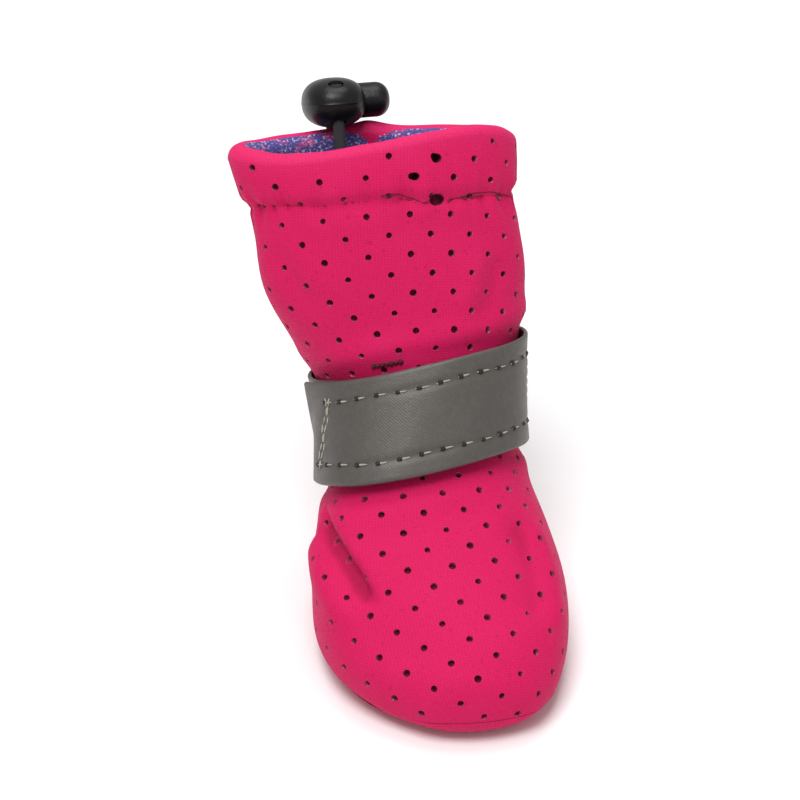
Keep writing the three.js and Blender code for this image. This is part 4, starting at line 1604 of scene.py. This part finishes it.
@dataclass
class Strap:
    """The reflective ankle strap, its hook patch and its stitching."""

    last: Last
    width: float = 20 * MM
    thickness: float = 0.8 * MM
    gap: float = 0.3 * MM
    skew: float = math.radians(8)
    under_end: float = -30.0
    over_end: float = 447.0
    lift_from: float = 255.0
    lift_to: float = 322.0
    patch_thickness: float = 0.6 * MM
    patch_width: float = 16 * MM
    patch_from: float = -25.0
    patch_to: float = 78.0
    row_across: float = 6.2 * MM
    rows_from: float = 288.0
    rows_to: float = 421.0
    degrees_each: float = 1.5
    middle_along: float = 21.5 * MM
    middle_up: float = 40.5 * MM
    row: StitchRow = StitchRow(3.8 * MM, 2.9 * MM, 0.17 * MM)
    needle: StitchRow = StitchRow(3.8 * MM, 1.2 * MM, 0.42 * MM)
    end: StitchRow = StitchRow(1.7 * MM, 1.75 * MM, 0.19 * MM)
    tack: StitchRow = StitchRow(0.75 * MM, 1.1 * MM, 0.42 * MM)
    fibre: StitchRow = StitchRow(0.22 * MM, 0.36 * MM, 0.07 * MM)

    @property
    def middle(self) -> np.ndarray:
        """A point on the strap's middle plane."""
        return self.last.place(0.0, self.middle_along, self.middle_up)

    @property
    def facing(self) -> np.ndarray:
        """The direction square to the strap's middle plane."""
        found = self.last.axis + np.array([-math.tan(self.skew), 0.0, 0.0])
        return found / np.linalg.norm(found)

    def station(self, angle: np.ndarray, above: np.ndarray) -> np.ndarray:
        """Stations where the form's lines cross a plane beside the strap's middle.

        Args:
            angle: Radians round the ankle.
            above: Distances above the middle plane.

        Returns:
            Stations.
        """
        low = np.full(angle.shape, 5.0)
        high = np.full(angle.shape, float(self.last.end))
        for _ in range(22):
            centre = (low + high) / 2
            under = (self.last.point(centre, angle) - self.middle) @ self.facing < above
            low = np.where(under, centre, low)
            high = np.where(under, high, centre)
        return (low + high) / 2

    def point(self, degrees: Any, across: Any, offset: Any) -> tuple[np.ndarray, np.ndarray]:
        """Points of a band round the ankle.

        Args:
            degrees: Angles round the ankle.
            across: Distances from the band's middle.
            offset: Distances outside the form.

        Returns:
            Points and outward directions.
        """
        angle, across, offset = np.broadcast_arrays(
            np.radians(np.asarray(degrees, float)), np.asarray(across, float), np.asarray(offset, float)
        )
        found = []
        edge = np.full(angle.shape, self.width / 2)
        for distance in (-edge, across, edge):
            station = self.station(angle, distance)
            found.append((self.last.offset(station, angle, offset), self.last.normal(station, angle)))
        (low, _), (here, normal), (high, _) = found
        bridge = low + (high - low) * (across / self.width + 0.5)[..., None]
        clear = ((bridge - here) * normal).sum(-1) > 0
        return np.where(clear[..., None], bridge, here), normal

    def offset(self, degrees: np.ndarray) -> np.ndarray:
        """The strap's inner face: on the sock for the first turn, then up over the patch.

        Args:
            degrees: Angles round the ankle.

        Returns:
            Distances outside the form.
        """
        patch = self.gap + self.thickness + self.gap
        over = patch + self.patch_thickness + self.gap
        return self.gap + (over - self.gap) * smoothstep(degrees, self.lift_from, self.lift_to)

    def sunk(self, degrees: np.ndarray, across: np.ndarray) -> np.ndarray:
        """How far the stitching pulls the tape's face in, which also sets the tape's painted shade
        there.

        Args:
            degrees: Angles round the ankle.
            across: Distances from the tape's middle.

        Returns:
            Shares from 0 to 1.
        """
        on = smoothstep(degrees, self.rows_from - 1, self.rows_from + 1)
        on = on * (1 - smoothstep(degrees, self.rows_to - 1, self.rows_to + 1))
        rows = bump((np.abs(across) - self.row_across) / MM, 0.75) * on
        inside = 1 - smoothstep(np.abs(across) / MM, 6.4, 7.2)
        ends = bump(degrees - self.rows_from, 2.2) + bump(degrees - self.rows_to, 2.2)
        return np.clip(rows + ends * inside, 0, 1)

    def band(
        self, name: str, span: tuple[float, float], width: float, thickness: float,
        offset: Callable[[np.ndarray], np.ndarray], stitched: bool,
    ) -> bpy.types.Object:
        """Build a band with rounded edges.

        Args:
            name: The piece's name.
            span: First and last angle in degrees.
            width: Its width.
            thickness: Its thickness.
            offset: Gives its inner face's distance from the form.
            stitched: Whether stitching pulls its face in.

        Returns:
            The piece.
        """
        steps = int((span[1] - span[0]) / self.degrees_each)
        degrees = np.linspace(*span, steps + 1)
        flat = np.linspace(-1, 1, 41) * (width / 2 - 0.3 * thickness)
        edge = np.array([0.15, 0.3, 0.15]) * thickness
        rim = flat[-1] + edge
        level = np.array([0.15, 0.5, 0.85])
        across = np.concatenate([flat, rim, flat[::-1], -rim])
        depth = np.concatenate([np.zeros(41), level, np.ones(41), level[::-1]])
        turn, over = np.meshgrid(degrees, across, indexing="ij")
        if stitched:
            over = over * (0.93 + 0.07 * smoothstep(turn, 95.0, 130.0))
        deep = np.broadcast_to(depth, turn.shape)
        pulled = self.sunk(turn, over) * (deep == 1.0) if stitched else np.zeros(turn.shape)
        wave = 0.05 * MM * np.sin(turn * 0.21 + 60 * over / width * 0.1)
        points, _ = self.point(turn, over, offset(turn) + deep * thickness + wave - pulled * 0.22 * MM)
        round_ = len(across)
        ends = [points[0].mean(0), points[-1].mean(0)]
        corners = np.concatenate([points.reshape(-1, 3), ends])
        faces: list[Sequence[int]] = list(ring_faces(len(degrees), round_))
        faces += end_fans(len(degrees), round_, 0, (len(corners) - 2, len(corners) - 1))
        piece = new_piece(name, corners, faces)
        lengths = np.linalg.norm(np.diff(points[:, 20], axis=0), axis=-1)
        run = np.concatenate([[0.0], np.cumsum(lengths)])
        flat_map = np.stack([np.broadcast_to(run[:, None], turn.shape), over], -1).reshape(-1, 2)
        flat_map = np.concatenate([flat_map, [[0, 0], [run[-1], 0]]])
        numbers = corner_points(piece)
        set_panel(piece, flat_map[numbers])
        # Painted shade: the pull-in share is stored for darkening the stitch grooves.
        set_number(piece, PAINTED_SHADE, np.concatenate([pulled.ravel(), [0, 0]]))
        face_outwards(piece)
        smooth(piece, 60.0)
        LOG.info("%s: %.1f mm long", name, run[-1] / MM)
        return piece

    def face_path(
        self, degrees: np.ndarray, across: np.ndarray, lift: float
    ) -> tuple[np.ndarray, np.ndarray]:
        """A path on the strap's outer face.

        Args:
            degrees: Angles round the ankle.
            across: Distances from the middle.
            lift: Height above the face.

        Returns:
            Points and outward directions.
        """
        return self.point(degrees, across, self.offset(degrees) + self.thickness + lift)

    def dress(self) -> None:
        """Build the strap, patch and stitches and tie them to the boot."""
        strap = self.band(
            "reflective_strap", (self.under_end, self.over_end), self.width, self.thickness,
            self.offset, True,
        )
        strap.data.materials.append(ReflectiveTape().make())
        settle(strap, Body.BOOT, ["ankle_strap"])
        level = self.gap + self.thickness + self.gap
        patch = self.band(
            "strap_hook_patch", (self.patch_from, self.patch_to), self.patch_width,
            self.patch_thickness, lambda degrees: np.full_like(degrees, level), False,
        )
        patch.data.materials.append(HookTape().make())
        settle(patch, Body.BOOT, ["hook_patch"])
        pale = PALE_THREAD.make()
        # The needle holes' dark blobs are painted shade.
        dark = NEEDLE_HOLE_SHADE.make()
        along = np.linspace(self.rows_from, self.rows_to, 240)
        rows, holes = [], []
        for side in (-1, 1):
            across = np.full_like(along, side * self.row_across)
            across = across + 0.18 * MM * np.sin(along * 0.13 + side)
            rows.append(self.face_path(along, across, -0.12 * MM))
            holes.append(self.face_path(along + 1.6, across, -0.19 * MM))
        self.row.lay("strap_stitches", rows, pale, Slot.TAPE)
        self.needle.lay("strap_needle_holes", holes, dark, Slot.TAPE)
        column = np.linspace(-self.row_across, self.row_across, 60)
        messy = []
        columns = ((self.rows_to, 1.1, 0.0), (self.rows_to - 2.2, 0.9, 1.7), (self.rows_from, 0.5, 0.4))
        for turn, sway, phase in columns:
            degrees = turn + sway * np.sin(column / MM * 1.15 + phase)
            messy.append(self.face_path(degrees, column, -0.1 * MM))
        self.end.lay("strap_end_stitches", messy, pale, Slot.TAPE)
        self.fray(pale)
        tack_line = np.linspace(33.0, 16.0, 40)
        station = self.station(np.radians(tack_line), np.full(40, self.width / 2 + 0.9 * MM))
        facing = self.last.normal(station, np.radians(tack_line))
        tack = self.last.offset(station, np.radians(tack_line), np.full(40, 0.12 * MM))
        self.tack.lay("strap_bar_tack", [(tack, facing)], TACK_THREAD.make(), Slot.UPPER)

    def fray(self, thread: bpy.types.Material) -> None:
        """Lay loose fibres along the strap's cut end.

        Args:
            thread: Their material.
        """
        draw = np.random.default_rng(7)
        paths = []
        for across in np.linspace(-9.4, 9.4, 46) * MM:
            reach = draw.uniform(0.8, 3.2)
            lean = draw.normal(0, 0.35) * MM
            degrees = self.over_end + np.linspace(-0.6, reach, 6)
            drift = across + lean * np.linspace(0, 1, 6)
            lift = -self.thickness * draw.uniform(0.2, 0.75)
            paths.append(self.face_path(degrees, np.clip(drift, -9.8 * MM, 9.8 * MM), lift))
        self.fibre.lay("strap_frayed_end", paths, thread, Slot.TAPE)


@dataclass
class HemStitching:
    """The thread in the hem's seam and its loose loops."""

    last: Last
    sock: SockUpper
    row: StitchRow = StitchRow(2.6 * MM, 1.9 * MM, 0.17 * MM)
    loose: StitchRow = StitchRow(0.5 * MM, 0.7 * MM, 0.12 * MM)
    hole_span: tuple[float, float] = (-26.0, -15.0)

    def on_sock(
        self, station: np.ndarray, degrees: np.ndarray, lift: float
    ) -> tuple[np.ndarray, np.ndarray]:
        """A path on the sock's outside.

        Args:
            station: Stations from the toe tip.
            degrees: Angles round the shaft.
            lift: Height above the surface.

        Returns:
            Points and outward directions.
        """
        angle = np.radians(degrees)
        height = self.sock.relief(station, angle) + lift
        return self.last.offset(station, angle, height), self.last.normal(station, angle)

    def dress(self) -> None:
        """Lay the seam's stitches and the loose thread."""
        degrees = np.linspace(-178, 178, 420)
        angle = np.radians(degrees)
        order = np.argsort(-self.sock.front_distance)
        level = self.sock.hem_height + self.sock.seam_wander(angle) * MM
        station = np.interp(-level, -self.sock.front_distance[order], self.sock.front_lines[order])
        clear = [degrees < self.hole_span[0], degrees > self.hole_span[1]]
        seams = [self.on_sock(station[part], degrees[part], 0.02 * MM) for part in clear]
        self.row.lay("hem_stitches", seams, SEAM_THREAD.make(), Slot.UPPER)
        knots = np.array([
            (11.2, 3.2), (11.19, -4.2), (11.1, -9.8), (11.0, -14.0), (10.98, -26.0), (11.02, -30.5),
            (11.06, -38.8), (11.06, -50.8), (10.98, -70.0),
        ])
        share = np.linspace(0, 1, 160)
        at = np.linspace(0, 1, len(knots))
        line, turn = (np.interp(share, at, knots[:, column]) for column in (0, 1))
        clear = [turn < self.hole_span[0], turn > self.hole_span[1]]
        loops = [self.on_sock(line[part], turn[part], 0.08 * MM) for part in clear]
        self.loose.lay("hem_loose_thread", loops, LOOSE_THREAD.make(), Slot.UPPER)


@dataclass
class CordLock:
    """The spring cord lock on the rim, with its button and the drawcord's two ends."""

    last: Last
    across: float = 11.5 * MM
    long: float = 17 * MM
    thick: float = 9 * MM
    power: float = 2.4
    side: float = -6 * MM
    gap: float = 0.3 * MM
    hem: float = 4.0 * MM
    button_long: float = 3.6 * MM
    button_thick: float = 3.2 * MM
    inner: float = 0.6 * MM
    tip: float = 10.3 * MM
    dome: float = 2.6 * MM
    travel: float = 3.5 * MM
    cord: float = 2.2 * MM
    hole: float = 2.8 * MM
    reach: float = 5.8 * MM
    seat: float = 1.0 * MM
    cord_top: float = 3.4 * MM
    rim_in: float = 1.1 * MM
    exit_offsets: tuple[float, float] = (-3.1 * MM, 0.9 * MM)
    button_sides: int = 56

    def __post_init__(self) -> None:
        """Find the lock's place on the rim."""
        width = self.last.rows[-1][4] * self.last.ball_width
        self.angle = math.pi - math.asin(-self.side / (width / 2))
        rim = self.last.offset(self.last.end, self.angle, -self.rim_in) + self.last.axis * self.hem / 2
        self.middle = rim + self.last.axis * (self.thick / 2 + self.gap)
        across = np.array([1.0, 0.0, 0.0])
        back = np.cross(self.last.axis, across)
        self.axes = np.stack([across, back, self.last.axis])

    def world(self, points: np.ndarray) -> np.ndarray:
        """Points of the lock's own frame in the boot's frame."""
        return self.middle + np.asarray(points) @ self.axes

    def exits(self) -> list[np.ndarray]:
        """Where the cord leaves the hem.

        Returns:
            The inside and the outside point in the lock's frame.
        """
        station = self.last.end - 0.5
        found = []
        for distance in self.exit_offsets:
            spot = self.last.offset(station, self.angle, distance)
            local = self.axes @ (spot - self.middle)
            local[0] = 0.0
            found.append(local)
        return found

    def pin(
        self, radius: float, axis: int, span: tuple[float, float], centre: np.ndarray
    ) -> tuple[np.ndarray, list[Sequence[int]]]:
        """A round pin along one of the lock's axes.

        Args:
            radius: Its radius.
            axis: Number of the axis.
            span: Its ends along the axis.
            centre: A point on it.

        Returns:
            Points in the lock's frame and faces.
        """
        sides = 32
        turn = 2 * math.pi * np.arange(sides) / sides
        rings = []
        for end in span:
            ring = np.zeros((sides, 3))
            ring[:, (axis + 1) % 3] = radius * np.cos(turn)
            ring[:, (axis + 2) % 3] = radius * np.sin(turn)
            ring[:, axis] = end
            rings.append(ring + centre)
        faces: list[Sequence[int]] = list(ring_faces(2, sides))
        faces += [tuple(range(sides))[::-1], tuple(range(sides, 2 * sides))]
        return np.concatenate(rings), faces

    def exit_cutters(self) -> bpy.types.Object:
        """The two pins that open the hem for the cord.

        Returns:
            The helper object.
        """
        points, faces = [], []
        for spot in self.exits():
            sign = math.copysign(1.0, spot[1])
            span = sorted((sign * (-self.seat - self.gap), sign * self.hole))
            found, sides = self.pin(self.hole / 2, 1, (span[0], span[1]), spot)
            start = sum(len(p) for p in points)
            points.append(found)
            faces += [tuple(i + start for i in f) for f in sides]
        made = new_piece("cord_exit_cutters", self.world(np.concatenate(points)), faces)
        face_outwards(made)
        return made

    def button_rings(self, inner: float, tip: float, grow: float) -> np.ndarray:
        """Rings of the button: an oval stem with rounded ends and a domed face.

        Args:
            inner: Start of the stem.
            tip: Crown of the dome.
            grow: Clearance all round.

        Returns:
            Rings in the lock's frame.
        """
        sides = self.button_sides
        turn = 2 * math.pi * np.arange(sides) / sides
        rise = np.linspace(0, math.pi / 2, 15)[:-1]
        profile = [(0.86, inner), (0.96, inner + 0.08 * MM), (1.0, inner + 0.35 * MM)]
        profile += [(1.0, inner + s * (tip - self.dome - inner)) for s in (0.3, 0.6, 0.9)]
        profile += [(math.cos(a) ** 0.8, tip - self.dome * (1 - math.sin(a))) for a in rise]
        rings = [
            np.stack([np.full(sides, at), (self.button_long + grow) * share * np.cos(turn),
                      (self.button_thick + grow) * share * np.sin(turn)], -1)
            for share, at in profile
        ]
        return np.array(rings)

    def capped(self, name: str, rings: np.ndarray) -> bpy.types.Object:
        """A closed piece through rings of points.

        Args:
            name: The piece's name.
            rings: Rings in the lock's frame.

        Returns:
            The piece.
        """
        count, round_ = rings.shape[:2]
        ends = [rings[0].mean(0), rings[-1].mean(0)]
        points = np.concatenate([rings.reshape(-1, 3), ends])
        faces: list[Sequence[int]] = list(ring_faces(count, round_))
        faces += end_fans(count, round_, 0, (len(points) - 2, len(points) - 1))
        made = new_piece(name, self.world(points), faces)
        face_outwards(made)
        return made

    def body(self) -> bpy.types.Object:
        """Build the bean-shaped body with its pocket and cord holes.

        Returns:
            The piece.
        """
        work = bmesh.new()
        bmesh.ops.create_uvsphere(work, u_segments=96, v_segments=64, radius=1.0)
        half = np.array([self.across, self.long, self.thick]) / 2
        for vertex in work.verts:
            spot = np.array(vertex.co)
            size = (np.abs(spot) ** self.power).sum() ** (1 / self.power)
            parting = 1.0 + 0.012 * float(bump(spot[2], 0.035))
            vertex.co = Vector(self.world(spot / size * half * parting))
        mesh = bpy.data.meshes.new("lock_body")
        work.to_mesh(mesh)
        work.free()
        piece = link("lock_body", mesh)
        face_outwards(piece)
        tip = 2 * self.across + self.dome
        pocket = self.capped(
            "pocket_cutter", self.button_rings(self.inner - self.travel - self.gap, tip, self.gap)
        )
        cutters = [pocket]
        for back in (-self.reach, self.reach):
            points, faces = self.pin(
                self.hole / 2, 2, (-self.thick, self.thick), np.array([0.0, back, 0.0])
            )
            made = new_piece("hole_cutter", self.world(points), faces)
            face_outwards(made)
            cutters.append(made)
        cut(piece, cutters, "DIFFERENCE")
        smooth(piece, 38.0)
        return piece

    def cord_end(self, name: str, spot: np.ndarray) -> bpy.types.Object:
        """One end of the drawcord, from its seat in the hem up through the lock.

        Args:
            name: The piece's name.
            spot: Where it leaves the hem, in the lock's frame.

        Returns:
            The piece.
        """
        away = math.copysign(1.0, spot[1])
        bend = self.reach - abs(spot[1])
        path = [(spot[1] - away * self.seat * s, spot[2]) for s in (1.0, 0.5)]
        for turn in np.linspace(0, math.pi / 2, 16):
            path.append((spot[1] + away * bend * math.sin(turn), spot[2] + bend * (1 - math.cos(turn))))
        start = path[-1][1]
        path += [(away * self.reach, h) for h in np.linspace(start, self.cord_top, 26)[1:]]
        line = np.array(path)
        onward = np.gradient(line, axis=0)
        onward /= np.linalg.norm(onward, axis=-1, keepdims=True)
        run = np.concatenate([[0], np.cumsum(np.linalg.norm(np.diff(line, axis=0), axis=-1))])
        sides = 32
        turn = 2 * math.pi * np.arange(sides) / sides
        twist = run[:, None] / MM * 3.2
        plait = np.sin(4 * turn[None] + twist) * np.sin(4 * turn[None] - twist)
        radius = self.cord / 2 * (0.955 + 0.045 * plait)
        out = radius * np.sin(turn)
        rings = np.stack([
            radius * np.cos(turn), line[:, :1] - onward[:, 1:] * out, line[:, 1:] + onward[:, :1] * out,
        ], -1)
        piece = self.capped(name, rings)
        spread = np.broadcast_to(turn * self.cord / 2, rings.shape[:2])
        flat = np.stack([np.broadcast_to(run[:, None], rings.shape[:2]), spread], -1).reshape(-1, 2)
        flat = np.concatenate([flat, [[0, 0], [run[-1], 0]]])
        set_panel(piece, flat[corner_points(piece)])
        smooth(piece, 60.0)
        LOG.info("%s: %.1f mm long", name, run[-1] / MM)
        return piece

    def dress(self) -> None:
        """Build the lock, its button and the cord ends and tie them to their bodies."""
        plastic = MouldedPlastic().make()
        body = self.body()
        body.data.materials.clear()
        body.data.materials.append(plastic)
        settle(body, Body.BOOT, ["cord_lock_body"])
        button = self.capped("lock_button", self.button_rings(self.inner, self.tip, 0.0))
        button.data.materials.append(plastic)
        smooth(button, 45.0)
        settle(button, Body.BUTTON, ["cord_lock_button"])
        braid = BraidedElastic().make()
        names = ("inside", "outside")
        for name, spot in zip(names, self.exits()):
            end = self.cord_end("cord_end_" + name, spot)
            end.data.materials.append(braid)
            settle(end, Body.BOOT, ["drawcord_" + name])


@dataclass(frozen=True)
class Lamp:
    """A soft square light: where it hangs, its side and its power, in metres and watts."""

    name: str
    spot: tuple[float, float, float]
    size: float
    watts: float


@dataclass
class Studio:
    """Camera, floor and soft lights."""

    azimuth: float = math.radians(9)
    elevation: float = math.radians(34)
    distance: float = 0.480
    lens: float = 121.0
    sensor: float = 36.0
    target: tuple[float, float, float] = (0.0042, -0.0047, 0.040)
    slide: tuple[float, float] = (-0.005, 0.00375)
    lit: tuple[float, float, float] = (0.0, 0.0, 0.035)
    surround: float = 0.42
    lamps: tuple[Lamp, ...] = (
        Lamp("key", (-0.20, -0.28, 0.98), 0.5, 7.6),
        Lamp("fill", (0.75, -0.55, 0.45), 0.8, 0.4),
        Lamp("top", (0.05, 0.35, 0.95), 0.6, 3.8),
    )

    def aim(self, thing: bpy.types.Object, spot: Vector, target: Vector) -> None:
        """Stand a camera or light at a spot and turn it to a target."""
        facing = (target - spot).to_track_quat("-Z", "Y").to_matrix().to_4x4()
        thing.matrix_world = Matrix.Translation(spot) @ facing

    def camera(self) -> None:
        """Place the camera at the photograph's angle."""
        ahead = Vector((
            math.sin(self.azimuth) * math.cos(self.elevation),
            math.cos(self.azimuth) * math.cos(self.elevation),
            -math.sin(self.elevation),
        ))
        right = Vector((math.cos(self.azimuth), -math.sin(self.azimuth), 0.0))
        up = right.cross(ahead)
        target = Vector(self.target) + right * self.slide[0] + up * self.slide[1]
        data = bpy.data.cameras.new("main_camera")
        data.lens = self.lens
        data.sensor_width = self.sensor
        data.clip_start = 0.01
        camera = link("main_camera", data)
        self.aim(camera, target - ahead * self.distance, target)
        bpy.context.scene.camera = camera

    def floor(self) -> None:
        """Lay a wide pale floor."""
        work = bmesh.new()
        bmesh.ops.create_grid(work, x_segments=24, y_segments=24, size=3.0)
        mesh = bpy.data.meshes.new("floor")
        work.to_mesh(mesh)
        work.free()
        floor = link("floor", mesh)
        mesh.materials.append(StudioFloor().make())

    def light(self, lamp: Lamp) -> None:
        """Hang a soft square light that faces the boot.

        Args:
            lamp: The light's place and power.
        """
        data = bpy.data.lights.new(lamp.name, "AREA")
        data.size = lamp.size
        data.energy = lamp.watts
        self.aim(link(lamp.name, data), Vector(lamp.spot), Vector(self.lit))

    def dress(self) -> None:
        """Set up the camera, floor, lights and a white surround."""
        self.camera()
        self.floor()
        for lamp in self.lamps:
            self.light(lamp)
        world = bpy.data.worlds.new("white_surround")
        world.use_nodes = True
        surround = world.node_tree.nodes["Background"]
        surround.inputs["Color"].default_value = (1.0, 1.0, 1.0, 1.0)
        surround.inputs["Strength"].default_value = self.surround
        bpy.context.scene.world = world
        bpy.context.scene.view_settings.view_transform = "Standard"


def main() -> None:
    """Build the studio and every sub-assembly."""
    logging.basicConfig(level=logging.INFO, format="%(name)s %(message)s")
    Studio().dress()
    last = Last()
    CordLock(last).dress()
    sock = SockUpper(last)
    sock.dress()
    Sole(last).dress()
    Strap(last).dress()
    HemStitching(last, sock).dress()


if __name__ == "__main__":
    main()
